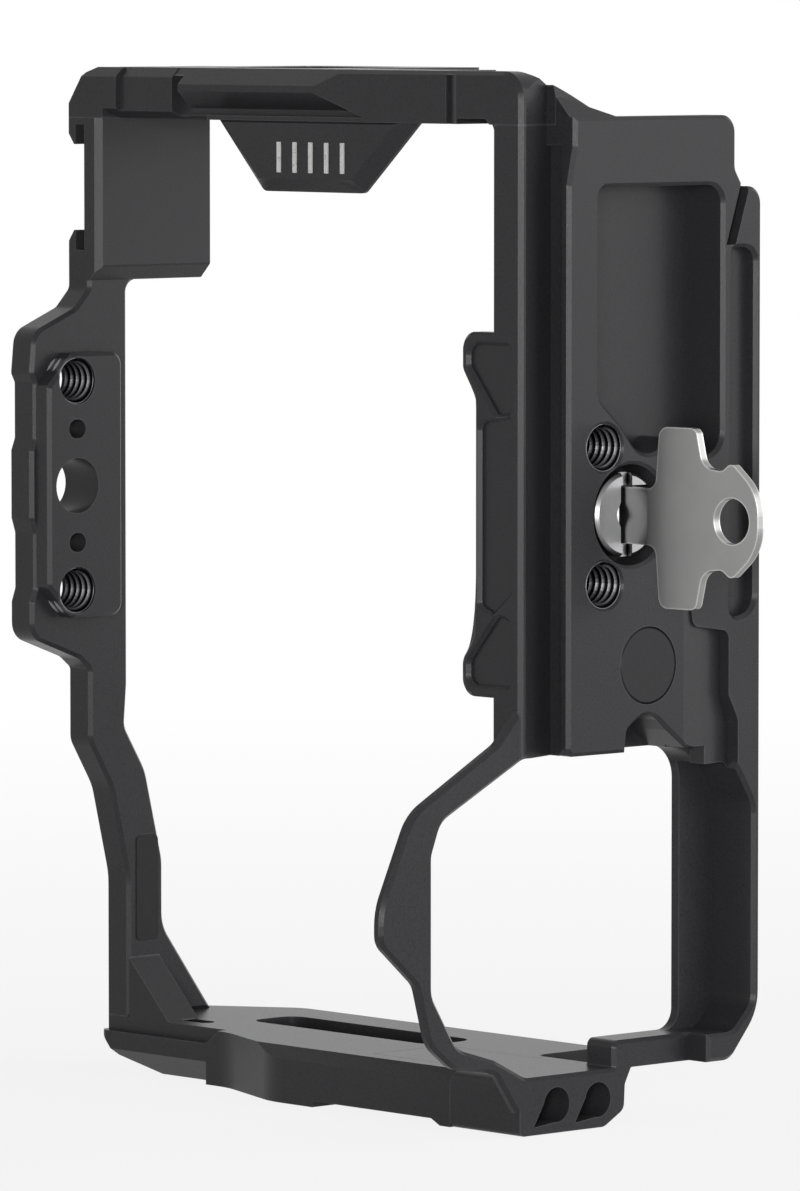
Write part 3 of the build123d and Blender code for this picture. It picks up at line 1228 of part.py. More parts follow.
with BuildPart() as screw_handle:
    # bent strip, seen along the pin
    with BuildSketch(Plane.XY.offset(-HANDLE_WING_W / 2)):
        with BuildLine() as centreline:
            neck_end = PolarLine((PIVOT_X, 0), HANDLE_BEND_AT, -HANDLE_NECK_LEAN)
            PolarLine(neck_end @ 1, HANDLE_L - HANDLE_BEND_AT, HANDLE_PLATE_LEAN)
        trace(line_width=HANDLE_T)
        with Locations((PIVOT_X, 0)):
            Circle(HANDLE_BARREL_R)
    extrude(amount=HANDLE_WING_W)
    # outline, seen square to the strip
    with BuildSketch(front_plane(-HANDLE_WING_W)):
        blank(handle_outline)
        with Locations((PIVOT_X + HANDLE_L - HANDLE_HOLE_INSET, 0)):
            Circle(HANDLE_HOLE_D / 2, mode=Mode.SUBTRACT)
    extrude(amount=-2 * HANDLE_WING_W, mode=Mode.INTERSECT)
    with BuildSketch(Plane.XY.offset(-PIN_L / 2)):
        with Locations((PIVOT_X, 0)):
            Circle(PIN_D / 2 + RUN_GAP)
    extrude(amount=PIN_L, mode=Mode.SUBTRACT)
save("screw_handle", screw_handle.part)
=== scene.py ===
import json
import math

import bpy
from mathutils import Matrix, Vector

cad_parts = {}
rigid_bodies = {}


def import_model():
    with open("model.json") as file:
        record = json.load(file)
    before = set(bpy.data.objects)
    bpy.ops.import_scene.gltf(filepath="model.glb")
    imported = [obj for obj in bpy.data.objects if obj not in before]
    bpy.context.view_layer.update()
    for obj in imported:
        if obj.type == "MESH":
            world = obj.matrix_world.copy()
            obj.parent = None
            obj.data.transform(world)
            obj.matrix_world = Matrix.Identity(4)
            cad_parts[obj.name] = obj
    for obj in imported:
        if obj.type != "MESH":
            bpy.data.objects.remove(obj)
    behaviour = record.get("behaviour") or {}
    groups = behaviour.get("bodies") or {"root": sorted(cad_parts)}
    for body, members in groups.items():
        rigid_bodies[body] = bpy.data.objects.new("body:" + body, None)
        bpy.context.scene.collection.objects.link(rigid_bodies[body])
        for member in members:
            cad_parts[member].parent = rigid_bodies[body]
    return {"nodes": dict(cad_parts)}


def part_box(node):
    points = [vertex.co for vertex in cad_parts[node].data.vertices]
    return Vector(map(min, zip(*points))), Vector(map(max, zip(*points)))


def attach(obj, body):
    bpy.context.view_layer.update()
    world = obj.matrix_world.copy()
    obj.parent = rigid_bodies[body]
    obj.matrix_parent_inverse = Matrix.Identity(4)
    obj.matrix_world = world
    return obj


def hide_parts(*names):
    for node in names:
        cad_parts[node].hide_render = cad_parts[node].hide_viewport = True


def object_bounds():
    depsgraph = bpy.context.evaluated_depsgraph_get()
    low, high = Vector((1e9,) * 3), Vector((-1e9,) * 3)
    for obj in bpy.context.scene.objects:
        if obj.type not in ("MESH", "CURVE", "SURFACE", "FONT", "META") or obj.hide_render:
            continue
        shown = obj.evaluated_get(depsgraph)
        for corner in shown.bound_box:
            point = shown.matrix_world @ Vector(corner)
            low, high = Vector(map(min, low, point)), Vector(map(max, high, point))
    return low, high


for leftover in list(bpy.data.objects):
    bpy.data.objects.remove(leftover)
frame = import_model()
nodes = frame["nodes"]
cad_low, cad_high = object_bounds()

MM = 0.001
UNIT = (0.0, 1.0)
NOISE_SPAN = (0.3, 0.7)  # most of a noise's values lie between these
COLOUR_A, COLOUR_B, MIXED = 6, 7, 2  # a colour Mix node's sockets
AO_SAMPLES = 8


# ---------------------------------------------------------------- building blocks of the finishes


def linear(hex_colour):
    """An sRGB hex colour as the linear colour that a shader takes."""
    parts = [int(hex_colour[i : i + 2], 16) / 255 for i in (1, 3, 5)]
    return [p / 12.92 if p <= 0.04045 else ((p + 0.055) / 1.055) ** 2.4 for p in parts] + [1.0]


def add(tree, kind, links=(), **settings):
    """Adds a node with its settings, and gives each input a value or another node's output."""
    made = tree.nodes.new(kind)
    for name, value in settings.items():
        setattr(made, name, value)
    for socket, value in dict(links).items():
        if isinstance(value, bpy.types.NodeSocket):
            tree.links.new(value, made.inputs[socket])
        else:
            made.inputs[socket].default_value = value
    return made


def new_finish(name):
    """An empty node material, its tree, and the Object coordinates that every pattern reads."""
    finish = bpy.data.materials.new(name)
    finish.use_nodes = True
    tree = finish.node_tree
    tree.nodes.clear()
    place = add(tree, "ShaderNodeTexCoord").outputs["Object"]
    return finish, tree, place


def noise(tree, place, size, detail):
    """Noise in patches of about that size."""
    inputs = {"Vector": place, "Scale": 1 / size, "Detail": detail}
    return add(tree, "ShaderNodeTexNoise", inputs).outputs["Fac"]


def ranged(tree, value, source, target):
    """A value moved from its source range to the target range, and held at the target's ends."""
    inputs = {
        "Value": value,
        "From Min": source[0],
        "From Max": source[1],
        "To Min": target[0],
        "To Max": target[1],
    }
    return add(tree, "ShaderNodeMapRange", inputs).outputs["Result"]


def maths(tree, operation, *values):
    """The result of one operation on those values."""
    return add(tree, "ShaderNodeMath", dict(enumerate(values)), operation=operation).outputs[0]


def blend(tree, share, first, second, **settings):
    """A mix of two colours, each a hex colour or a node's output; at share 1 it is the second."""
    inputs = {0: share}
    for socket, colour in ((COLOUR_A, first), (COLOUR_B, second)):
        inputs[socket] = linear(colour) if isinstance(colour, str) else colour
    return add(tree, "ShaderNodeMix", inputs, data_type="RGBA", **settings).outputs[MIXED]


def relief(tree, height, strength, depth):
    """The surface's normal, bent by a height pattern."""
    inputs = {"Height": height, "Strength": strength, "Distance": depth}
    return add(tree, "ShaderNodeBump", inputs).outputs["Normal"]


def edge_wear_and_highlight(tree, reach, bare, whole):
    """How strongly an outside edge is marked paler, for wear and on some finishes for painted
    highlight: 1 on a sharp corner, 0 on a face further than reach from one.

    Occlusion measured inside the metal is low near a corner. It gives 1 at bare and 0 at whole.
    """
    inside = add(
        tree,
        "ShaderNodeAmbientOcclusion",
        {"Distance": reach},
        inside=True,
        only_local=True,
        samples=AO_SAMPLES,
    )
    return ranged(tree, inside.outputs["AO"], (whole, bare), UNIT)


def turned_rings(tree, place, ring, middle=(0, 0, 0)):
    """Waves that go out from a line along X through the middle, one in each ring's width."""
    inputs = {"Vector": place, "Location": (0, -middle[1], -middle[2]), "Scale": (0, 1, 1)}
    across = add(tree, "ShaderNodeMapping", inputs).outputs[0]
    radius = add(tree, "ShaderNodeVectorMath", {0: across}, operation="LENGTH").outputs["Value"]
    return maths(tree, "SINE", maths(tree, "MULTIPLY", radius, 2 * math.pi / ring))


def surface(tree, inputs):
    """Ends a finish's tree with one Principled shader."""
    shader = add(tree, "ShaderNodeBsdfPrincipled", inputs)
    add(tree, "ShaderNodeOutputMaterial", {"Surface": shader.outputs[0]})


def coat(finish, *names):
    """Puts a finish on those CAD nodes."""
    for name in names:
        nodes[name].material_slots[0].material = finish


# ---------------------------------------------------------------- the four milled frame pieces
# Base plate, side wall, top bridge and grip arm: aluminium bars milled to shape, bead-blasted and
# dyed black by anodising. The blasting leaves a fine matt grain that takes a soft sheen. Every
# outside edge carries a paler line: partly the thin dye worn off the corners, and partly a painted
# highlight for the light that the edges catch.

BLAST_GRAIN = 0.28 * MM  # pits left by the glass beads, drawn coarse so that they show
BLAST_DEPTH = 0.06 * MM
BLAST_GLOSS = (0.27, 0.35)
GRAIN_SHARE = 0.35  # how much of the grain shows in the colour
DYE_DRIFT = 24 * MM  # slow change in the depth of the dye
DYE_DARK = "#323234"
DYE_PALE = "#3b3b3d"
DYE_SPECULAR = 0.14  # a dull black coat sends back little of the white room
SCUFF = 1.6 * MM
SCUFF_SPAN = (0.28, 0.55)
SCUFF_WEAR_AND_HIGHLIGHT = (0.55, 1.0)  # how strong an edge's paler line (wear and painted highlight) is, where least and most scuffed
EDGE_WEAR_AND_HIGHLIGHT_GREY = "#5a5a5c"
EDGE_REACH = 0.3 * MM

anodised, tree, place = new_finish("bead_blasted_black_anodised_aluminium")
grain = noise(tree, place, BLAST_GRAIN, detail=2.0)
drift = noise(tree, place, DYE_DRIFT, detail=3.0)
scuff = noise(tree, place, SCUFF, detail=4.0)
# painted highlight: the paler line on every outside edge is partly wear and partly painted
# highlight
wear_and_highlight = edge_wear_and_highlight(tree, EDGE_REACH, bare=0.4, whole=0.8)
worn_and_highlit = maths(tree, "MULTIPLY", wear_and_highlight, ranged(tree, scuff, SCUFF_SPAN, SCUFF_WEAR_AND_HIGHLIGHT))
dye = blend(tree, drift, DYE_DARK, DYE_PALE)
fleck = blend(tree, GRAIN_SHARE, dye, grain, blend_type="OVERLAY")
surface(
    tree,
    {
        "Base Color": blend(tree, worn_and_highlit, fleck, EDGE_WEAR_AND_HIGHLIGHT_GREY),
        "Specular IOR Level": DYE_SPECULAR,
        "Roughness": ranged(tree, grain, NOISE_SPAN, BLAST_GLOSS),
        "Normal": relief(tree, grain, strength=0.18, depth=BLAST_DEPTH),
    },
)
coat(anodised, "base_plate", "side_wall", "top_bridge", "grip_arm")


# ---------------------------------------------------------------- the 1/4"-20 thread inserts
# Stainless sleeves screwed into the base plate beside the camera screw and into the bridge's
# raised block, so that the soft aluminium doesn't strip. Each is a thin sleeve with a V-shaped
# ridge wound inside, which is blunter than a real thread. The thread's flanks and roots are
# painted nearly black as painted shade for the deep grooves, and its crests and the sleeve's rim
# are bare steel.

QUARTER_PITCH = 1.27 * MM
RIDGE_FILL = 0.98  # the share of the pitch that a ridge takes up, so that its turns don't touch
INSERT_CREST = 2.7 * MM
INSERT_ROOT = 3.22 * MM
INSERT_OUT = 3.44 * MM
INSERT_MOUTH = 0.3 * MM
MOUTH_BREAK = INSERT_MOUTH / 4
TURN_STEPS = 32
ROUND_SIDES = 64
SMOOTH_UNDER = math.radians(30)
BREAK_OVER = math.radians(60)


def into_edit(mode="VERT"):
    """Goes into edit mode on the active piece, with all of it selected."""
    bpy.ops.object.mode_set(mode="EDIT")
    bpy.ops.mesh.select_mode(type=mode)
    bpy.ops.mesh.select_all(action="SELECT")


def thread_ridge(name, crest, root, pitch, turns):
    """A thread's ridge wound round the X axis from X = 0, its crest and root at those radii."""
    bpy.ops.object.select_all(action="DESELECT")
    bpy.ops.mesh.primitive_circle_add(
        vertices=4, radius=pitch / 2, rotation=(math.pi / 2, 0, 0)
    )
    ridge = bpy.context.object
    ridge.name = name
    bpy.ops.object.transform_apply(location=True, rotation=True, scale=True)
    into_edit()
    bpy.ops.transform.resize(value=(RIDGE_FILL, 1, 2 * abs(crest - root) / pitch))
    bpy.ops.transform.translate(value=(pitch / 2, 0, root))
    bpy.ops.object.mode_set(mode="OBJECT")
    wind = ridge.modifiers.new("wind", "SCREW")
    wind.axis = "X"
    wind.screw_offset = pitch
    wind.iterations = turns
    wind.steps = TURN_STEPS
    wind.render_steps = TURN_STEPS
    wind.use_smooth_shade = False
    bpy.ops.object.modifier_apply(modifier=wind.name)
    into_edit()
    bpy.ops.mesh.fill_holes(sides=4)
    bpy.ops.mesh.normals_make_consistent(inside=False)
    bpy.ops.object.mode_set(mode="OBJECT")
    return ridge


def joined(name, parts):
    """Makes one mesh of several, under that name, with its place in the mesh."""
    bpy.ops.object.select_all(action="DESELECT")
    for part in parts:
        part.select_set(True)
    bpy.context.view_layer.objects.active = parts[0]
    bpy.ops.object.join()
    bpy.ops.object.transform_apply(location=True, rotation=True, scale=True)
    parts[0].name = name
    parts[0].data.name = name
    return parts[0]


def copy_at(piece, place):
    """A copy with its own mesh, at that place."""
    twin = piece.copy()
    twin.data = piece.data.copy()
    bpy.context.collection.objects.link(twin)
    twin.location = place
    return twin


def thread_insert(low, length):
    """One insert from X = low: the sleeve, its softened mouths and the ridge inside.

    Each point keeps its distance from the axis, in mm, for the finish to read.
    """
    bpy.ops.object.select_all(action="DESELECT")
    bpy.ops.mesh.primitive_cylinder_add(
        vertices=ROUND_SIDES,
        radius=INSERT_OUT,
        depth=length,
        end_fill_type="NOTHING",
        rotation=(0, math.pi / 2, 0),
        location=(low + length / 2, 0, 0),
    )
    sleeve = bpy.context.object
    bpy.ops.object.transform_apply(location=True, rotation=True, scale=True)
    wall = sleeve.modifiers.new("wall", "SOLIDIFY")
    wall.thickness = INSERT_OUT - INSERT_ROOT
    wall.offset = -1
    bpy.ops.object.modifier_apply(modifier=wall.name)
    soft = sleeve.modifiers.new("soft", "BEVEL")
    soft.width = MOUTH_BREAK
    soft.segments = 1
    soft.limit_method = "ANGLE"
    soft.angle_limit = BREAK_OVER
    bpy.ops.object.modifier_apply(modifier=soft.name)
    bpy.ops.object.shade_smooth_by_angle(angle=SMOOTH_UNDER)
    turns = int((length - INSERT_MOUTH) / QUARTER_PITCH)
    ridge = thread_ridge("ridge", INSERT_CREST, INSERT_ROOT, QUARTER_PITCH, turns)
    ridge.location = (low + (length - (turns + RIDGE_FILL) * QUARTER_PITCH) / 2, 0, 0)
    insert = joined("insert", [sleeve, ridge])
    from_axis = insert.data.attributes.new("from_axis", "FLOAT", "POINT")
    for point, vertex in zip(from_axis.data, insert.data.vertices):
        point.value = math.hypot(vertex.co.y, vertex.co.z) / MM
    return insert


INSERT_SMEAR = 1.5 * MM
INSERT_GLOSS = (0.36, 0.5)
INSERT_BARE_STEEL = "#77767a"
INSERT_ROOT_SHADE = "#060606"
FLANK_SPAN = (2.74, 3.0)  # mm from the axis: the painted shade starts, and is at its full depth
RIM_SPAN = (3.23, 3.3)  # mm from the axis: the painted shade ends, and the rim is bare steel

steel, tree, place = new_finish("machined_stainless_steel_insert")
smear = noise(tree, place, INSERT_SMEAR, detail=2.0)
from_axis = add(tree, "ShaderNodeAttribute", attribute_name="from_axis").outputs["Fac"]
flank = ranged(tree, from_axis, FLANK_SPAN, UNIT)
rim = ranged(tree, from_axis, RIM_SPAN, UNIT)
# painted shade: darker towards the thread's root, by distance from the axis
root_shade = maths(tree, "SUBTRACT", flank, rim)
surface(
    tree,
    {
        "Base Color": blend(tree, root_shade, INSERT_BARE_STEEL, INSERT_ROOT_SHADE),
        "Metallic": 1.0,
        "Roughness": ranged(tree, smear, NOISE_SPAN, INSERT_GLOSS),
    },
)

for node_name, piece_name in (
    ("base_thread_inserts", "base_insert_threads"),
    ("bridge_thread_inserts", "bridge_insert_threads"),
):
    low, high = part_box(node_name)
    first = thread_insert(low.x, high.x - low.x)
    spread = high.z - low.z - 2 * INSERT_OUT
    middle_y = (low.y + high.y) / 2
    middle_z = (low.z + high.z) / 2
    second = copy_at(first, (0, middle_y, middle_z - spread / 2))
    first.location = (0, middle_y, middle_z + spread / 2)
    inserts = joined(piece_name, [first, second])
    inserts.data.materials.append(steel)
    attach(inserts, "frame")
    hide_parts(node_name)


# ---------------------------------------------------------------- the frame's joint screws
# Small steel cap screws, blackened in hot oxide and lightly oiled, so they are darker and shinier
# than the anodised pieces that they hold together. Their edges are rubbed paler.

OXIDE = "#17171a"
OXIDE_RUBBED = "#58585c"
OXIDE_MOTTLE = 0.5 * MM
OXIDE_REACH = 0.25 * MM
OXIDE_GLOSS = (0.26, 0.42)

oxide_steel, tree, place = new_finish("black_oxide_steel")
mottle = noise(tree, place, OXIDE_MOTTLE, detail=3.0)
wear_and_highlight = edge_wear_and_highlight(tree, OXIDE_REACH, bare=0.45, whole=0.9)
surface(
    tree,
    {
        "Base Color": blend(tree, wear_and_highlight, OXIDE, OXIDE_RUBBED),
        "Metallic": 0.7,
        "Roughness": ranged(tree, mottle, NOISE_SPAN, OXIDE_GLOSS),
    },
)
coat(oxide_steel, "base_corner_screws", "shoe_corner_screws", "rail_corner_screws", "foot_screws")


# ---------------------------------------------------------------- locating pins, handle's pin
# Hardened steel pins, ground round: bright grey, with a fine mottle from the grinding.

PIN_DARK = "#8a898b"
PIN_PALE = "#b4b3b3"
PIN_MOTTLE = 0.2 * MM
PIN_GLOSS = (0.18, 0.34)

pin_steel, tree, place = new_finish("ground_pin_steel")
mottle = noise(tree, place, PIN_MOTTLE, detail=2.0)
surface(
    tree,
    {
        "Base Color": blend(tree, mottle, PIN_DARK, PIN_PALE),
        "Metallic": 1.0,
        "Roughness": ranged(tree, mottle, NOISE_SPAN, PIN_GLOSS),
    },
)
coat(pin_steel, "locating_pins", "handle_pin")


# ---------------------------------------------------------------- pads against the camera
# Thin black rubber pads glued into shallow seats, moulded with a fine matt grain, so that the cage
# doesn't mark the camera body.

RUBBER_DARK = "#151516"
RUBBER_PALE = "#242426"
RUBBER_GRAIN = 0.35 * MM
RUBBER_DEPTH = 0.08 * MM
RUBBER_LINT = 3 * MM

rubber, tree, place = new_finish("moulded_matt_rubber")
grain = noise(tree, place, RUBBER_GRAIN, detail=2.0)
lint = noise(tree, place, RUBBER_LINT, detail=4.0)
surface(
    tree,
    {
        "Base Color": blend(tree, lint, RUBBER_DARK, RUBBER_PALE),
        "Roughness": 0.85,
        "Normal": relief(tree, grain, strength=0.5, depth=RUBBER_DEPTH),
    },
)
coat(rubber, "base_pads", "bridge_pad")


# ---------------------------------------------------------------- the key magnet
# A disc magnet pressed flush into the base plate, with a black epoxy coat. Its face was ground
# before it was coated, and that leaves faint rings under the coat.

EPOXY_DARK = "#262628"
EPOXY_PALE = "#323234"
MAGNET_RING = 0.5 * MM
MAGNET_DEPTH = 0.05 * MM
MAGNET_DUST = 0.3 * MM
RING_SHARE = 0.2

low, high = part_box("key_magnet")
coated, tree, place = new_finish("black_epoxy_coated_magnet")
rings = turned_rings(tree, place, MAGNET_RING, (low + high) / 2)
dust = noise(tree, place, MAGNET_DUST, detail=3.0)
height = maths(tree, "MULTIPLY_ADD", rings, RING_SHARE, dust)
surface(
    tree,
    {
        "Base Color": blend(tree, dust, EPOXY_DARK, EPOXY_PALE),
        "Specular IOR Level": DYE_SPECULAR,
        "Roughness": 0.4,
        "Normal": relief(tree, height, strength=0.12, depth=MAGNET_DEPTH),
    },
)
coat(coated, "key_magnet")


# ---------------------------------------------------------------- the tab's white scale
# Five ticks of white epoxy ink, printed on the bevelled tab and slightly worn through where a
# thumb rubs them.

INK_WEAR = 0.4 * MM
INK_STEPS = ((0.27, "#9b9b99"), (0.4, "#ececea"))  # worn, and whole

ink, tree, place = new_finish("printed_white_epoxy_ink")
wear = noise(tree, place, INK_WEAR, detail=4.0)
tone = add(tree, "ShaderNodeValToRGB", {"Fac": wear})
for element, (position, colour) in zip(tone.color_ramp.elements, INK_STEPS):
    element.position = position
    element.color = linear(colour)
surface(tree, {"Base Color": tone.outputs["Color"], "Roughness": 0.6})
coat(ink, "tab_marking")


# ---------------------------------------------------------------- friction washer, retaining clip
# The washer is stamped from dark acetal sheet. The clip is a ring of blue-black spring steel that
# snaps into the screw's groove and keeps the screw on the cage.

ACETAL_DARK = "#1e1e20"
ACETAL_PALE = "#2b2b2e"
ACETAL_HAZE = 0.6 * MM
BLUED = "#2c2e36"
BLUED_RUBBED = "#85868c"
BLUED_SCALE = 0.8 * MM
BLUED_REACH = 0.2 * MM
BLUED_GLOSS = (0.25, 0.4)

acetal, tree, place = new_finish("stamped_acetal_sheet")
haze = noise(tree, place, ACETAL_HAZE, detail=2.0)
surface(tree, {"Base Color": blend(tree, haze, ACETAL_DARK, ACETAL_PALE), "Roughness": 0.5})
coat(acetal, "friction_washer")

spring_steel, tree, place = new_finish("blued_spring_steel")
scale = noise(tree, place, BLUED_SCALE, detail=3.0)
wear_and_highlight = edge_wear_and_highlight(tree, BLUED_REACH, bare=0.45, whole=0.9)
surface(
    tree,
    {
        "Base Color": blend(tree, wear_and_highlight, BLUED, BLUED_RUBBED),
        "Metallic": 1.0,
        "Roughness": ranged(tree, scale, NOISE_SPAN, BLUED_GLOSS),
    },
)
coat(spring_steel, "retaining_clip")


# ---------------------------------------------------------------- the camera screw
# Turned from stainless bar: a slotted head with a hex socket, and a 1/4"-20 thread that goes into
# the camera. The lathe's feed leaves rings on the head's face, and the slot and socket are darkened
# with painted shade where the screw's own occlusion is high.

SCREW_CREST = 3.12 * MM
SCREW_ROOT = 2.45 * MM
SCREW_TIP_BREAK = 0.3 * MM
SCREW_LEAD = 0.35 * MM  # from the screw's tip to its thread
THREAD_END = 0.0
TIP_FACING = -0.9  # a face whose normal's X is below this is the tip
WELD_WITHIN = 0.002 * MM
TURN_FEED = 0.16 * MM  # rings from the lathe, drawn coarse so that they show
TURN_DEPTH = 0.02 * MM
SCREW_SMEAR = 0.7 * MM
SCREW_GLOSS = (0.3, 0.36)
SCREW_DARK = "#858586"
SCREW_PALE = "#8c8c8d"
SCREW_RECESS_SHADE = "#101011"
SHADE_REACH = 2.5 * MM
SHADE_SPAN = (0.55, 0.85)  # how open to its surroundings a fully shaded and an unshaded place is

bright, tree, place = new_finish("turned_stainless_steel")
rings = turned_rings(tree, place, TURN_FEED)
smear = noise(tree, place, SCREW_SMEAR, detail=3.0)
normal = relief(tree, rings, strength=0.05, depth=TURN_DEPTH)
turned_face = blend(tree, smear, SCREW_DARK, SCREW_PALE)
recess = add(
    tree,
    "ShaderNodeAmbientOcclusion",
    {"Distance": SHADE_REACH},
    only_local=True,
    samples=AO_SAMPLES,
)
# painted shade: the colour darkens where occlusion is high, in the slot and socket
recess_shade = ranged(tree, recess.outputs["AO"], SHADE_SPAN, (1.0, 0.0))
surface(
    tree,
    {
        "Base Color": blend(tree, recess_shade, turned_face, SCREW_RECESS_SHADE),
        "Metallic": 1.0,
        "Roughness": ranged(tree, smear, NOISE_SPAN, SCREW_GLOSS),
        "Normal": normal,
    },
)

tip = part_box("camera_screw")[0].x
head = nodes["camera_screw"].copy()
head.data = nodes["camera_screw"].data.copy()
for key in list(head.keys()):
    del head[key]
bpy.context.collection.objects.link(head)
head.parent = None
bpy.ops.object.select_all(action="DESELECT")
head.select_set(True)
bpy.context.view_layer.objects.active = head
bpy.ops.mesh.customdata_custom_splitnormals_clear()
into_edit()
bpy.ops.mesh.remove_doubles(threshold=WELD_WITHIN)
bpy.ops.mesh.bisect(
    plane_co=(THREAD_END, 0, 0), plane_no=(1, 0, 0), clear_inner=True, use_fill=True
)
bpy.ops.object.mode_set(mode="OBJECT")

bpy.ops.object.select_all(action="DESELECT")
shank_length = THREAD_END - tip
bpy.ops.mesh.primitive_cylinder_add(
    vertices=ROUND_SIDES,
    radius=SCREW_ROOT,
    depth=shank_length,
    rotation=(0, math.pi / 2, 0),
    location=((THREAD_END + tip) / 2, 0, 0),
)
shank = bpy.context.object
bpy.ops.object.transform_apply(location=True, rotation=True, scale=True)
into_edit("FACE")
bpy.ops.mesh.select_all(action="DESELECT")
bpy.ops.object.mode_set(mode="OBJECT")
for face in shank.data.polygons:
    face.select = face.normal.x < TIP_FACING
bpy.ops.object.mode_set(mode="EDIT")
bpy.ops.mesh.bevel(offset=SCREW_TIP_BREAK, segments=1)
bpy.ops.object.mode_set(mode="OBJECT")
turns = int(shank_length / QUARTER_PITCH)
ridge = thread_ridge("ridge", SCREW_CREST, SCREW_ROOT, QUARTER_PITCH, turns - 1)
ridge.location = (tip + SCREW_LEAD, 0, 0)
screw = joined("camera_screw_metal", [head, shank, ridge])
bpy.ops.object.shade_smooth_by_angle(angle=SMOOTH_UNDER)
screw.data.materials.clear()
screw.data.materials.append(bright)
for face in screw.data.polygons:
    face.material_index = 0
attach(screw, "camera_screw")
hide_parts("camera_screw")


# ---------------------------------------------------------------- the fold-down handle
# Stamped and bent from 1.2 mm stainless sheet, then tumbled: an even satin face with soft edges
# where the stones have rounded them. The edges are painted brighter, partly for their polish and
# partly as painted highlight for the light that they catch.

SHEET_DARK = "#8b8b8b"
SHEET_PALE = "#989897"
SHEET_EDGE_POLISH_AND_HIGHLIGHT = "#d2d2d0"
SHEET_REACH = 0.35 * MM
SHEET_CLOUD = 6 * MM
SHEET_SATIN = 0.3 * MM
SHEET_DEPTH = 0.04 * MM
SHEET_GLOSS = (0.3, 0.38)

handle_metal, tree, place = new_finish("tumbled_stainless_sheet")
satin = noise(tree, place, SHEET_SATIN, detail=3.0)
cloud = noise(tree, place, SHEET_CLOUD, detail=3.0)
wear_and_highlight = edge_wear_and_highlight(tree, SHEET_REACH, bare=0.42, whole=0.86)
tone = blend(tree, cloud, SHEET_DARK, SHEET_PALE)
surface(
    tree,
    {
        # painted highlight: the rounded edges are brightened in the colour, partly for polish,
        # partly for light
        "Base Color": blend(tree, wear_and_highlight, tone, SHEET_EDGE_POLISH_AND_HIGHLIGHT),
        "Metallic": 1.0,
        "Roughness": ranged(tree, satin, NOISE_SPAN, SHEET_GLOSS),
        "Normal": relief(tree, satin, strength=0.06, depth=SHEET_DEPTH),
    },
)
coat(handle_metal, "screw_handle")


# ---------------------------------------------------------------- floor, light and camera
# A white table under the cage with no visible far edge, one large soft lamp behind the cage to the
# right, which rakes over the base plate and leaves its groove in shadow, a smaller one beside the
# camera that picks out the 45 degree bevels, and a weak one overhead.

FLOOR_SIZE = 30
FLOOR_GAP = 0.1 * MM
FLOOR_PAINT = "#f4f4f4"
FADE_SPAN = (0.1, 0.7)  # metres from the middle: the floor starts and ends its fade to plain white
FADE_WHITE = (0.86, 1.0)
ROOM_LIGHT = (0.1, 1.0)  # the white room's level as a light, and as it is seen or mirrored
WHITE = (1, 1, 1, 1)


def seen_or_mirrored(tree):
    """1 for a ray from the camera, a reflection or a refraction, and 0 for any other."""
    ray = add(tree, "ShaderNodeLightPath").outputs
    mirrored = maths(tree, "MAXIMUM", ray["Is Camera Ray"], ray["Is Glossy Ray"])
    return maths(tree, "MAXIMUM", mirrored, ray["Is Transmission Ray"])


bpy.ops.object.select_all(action="DESELECT")
bpy.ops.mesh.primitive_plane_add(size=FLOOR_SIZE, location=(0, 0, cad_low.z - FLOOR_GAP))
floor = bpy.context.object
floor.name = "floor"

floor_white, tree, place = new_finish("white_table")
seen = seen_or_mirrored(tree)
away = add(tree, "ShaderNodeVectorMath", {0: place}, operation="LENGTH").outputs["Value"]
share = maths(tree, "MULTIPLY", seen, ranged(tree, away, FADE_SPAN, FADE_WHITE))
paint = add(tree, "ShaderNodeBsdfDiffuse", {"Color": linear(FLOOR_PAINT)}).outputs[0]
glow = add(tree, "ShaderNodeEmission", {"Color": WHITE, "Strength": 1.0}).outputs[0]
mixed = add(tree, "ShaderNodeMixShader", {0: share, 1: paint, 2: glow}).outputs[0]
add(tree, "ShaderNodeOutputMaterial", {"Surface": mixed})
floor.data.materials.append(floor_white)

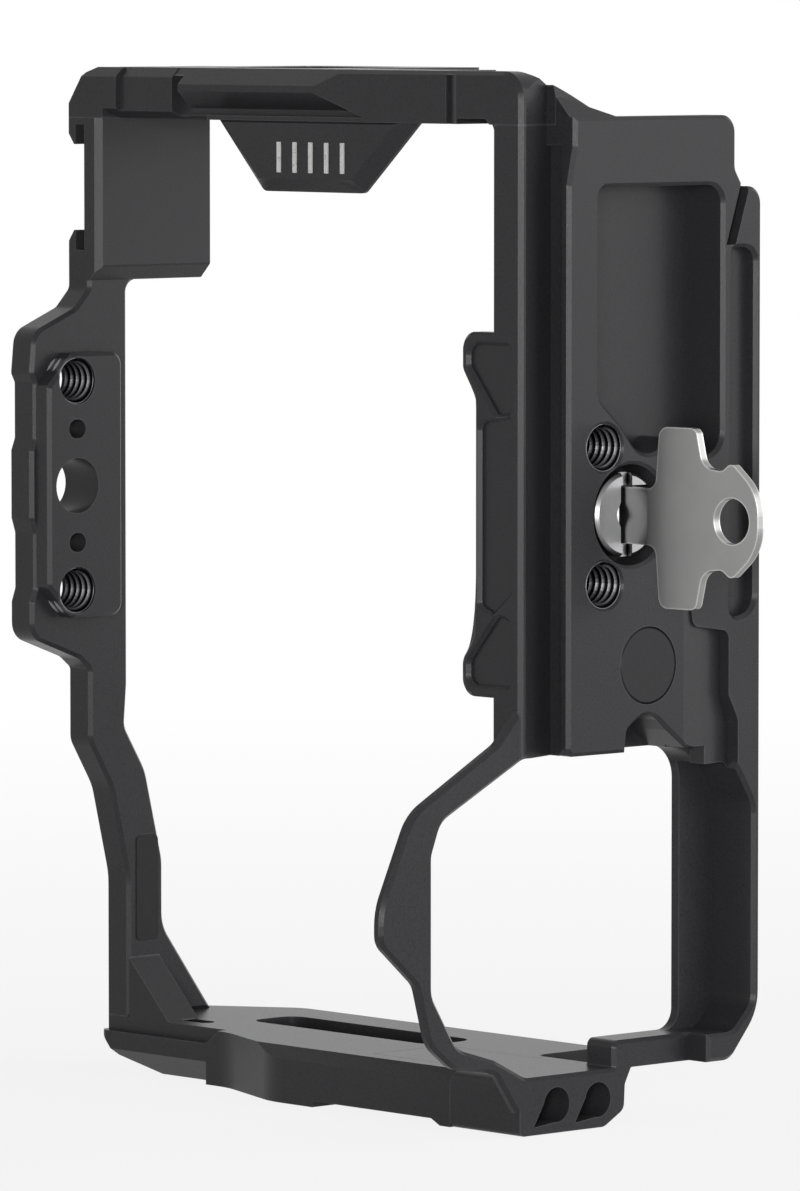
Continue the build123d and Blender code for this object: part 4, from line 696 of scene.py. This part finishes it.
world = bpy.data.worlds.new("studio")
bpy.context.scene.world = world
world.use_nodes = True
tree = world.node_tree
tree.nodes.clear()
level = ranged(tree, seen_or_mirrored(tree), UNIT, ROOM_LIGHT)
sky = add(tree, "ShaderNodeBackground", {"Color": WHITE, "Strength": level}).outputs[0]
add(tree, "ShaderNodeOutputWorld", {"Surface": sky})

TARGET = Vector((-0.03, -0.005, -0.01))


def soft_lamp(name, place, width, height, power):
    """A rectangular soft lamp that faces the cage."""
    lamp = bpy.data.lights.new(name, "AREA")
    lamp.shape = "RECTANGLE"
    lamp.size = width
    lamp.size_y = height
    lamp.energy = power
    holder = bpy.data.objects.new(name, lamp)
    bpy.context.collection.objects.link(holder)
    holder.location = place
    holder.rotation_euler = (TARGET - Vector(place)).to_track_quat("-Z", "Y").to_euler()


soft_lamp("lamp_right", (1.0, 0.9, 0.25), width=1.6, height=1.1, power=13.0)
soft_lamp("lamp_camera", (1.08, -1.15, 0.11), width=0.45, height=0.38, power=12.0)
soft_lamp("lamp_above", (0.1, 0.3, 1.1), width=0.8, height=0.8, power=1.0)

# the long lens stands 47 degrees round from the cage's front and looks down at it by 4 degrees
CAMERA_AT = (0.8716, -0.8374, 0.0747)
AZIMUTH = math.radians(47.4)
ELEVATION = math.radians(4.1)
FOCAL_PIXELS = 8510
PHOTO_HEIGHT = 1191
SENSOR_WIDTH = 36

lens = bpy.data.cameras.new("camera")
lens.sensor_fit = "AUTO"
lens.sensor_width = SENSOR_WIDTH
lens.lens = FOCAL_PIXELS / PHOTO_HEIGHT * SENSOR_WIDTH
camera = bpy.data.objects.new("camera", lens)
bpy.context.collection.objects.link(camera)
camera.location = CAMERA_AT
ahead = Vector(
    (
        -math.sin(AZIMUTH) * math.cos(ELEVATION),
        math.cos(AZIMUTH) * math.cos(ELEVATION),
        -math.sin(ELEVATION),
    )
)
camera.rotation_euler = ahead.to_track_quat("-Z", "Y").to_euler()
bpy.context.scene.camera = camera
bpy.context.scene.view_settings.view_transform = "Standard"
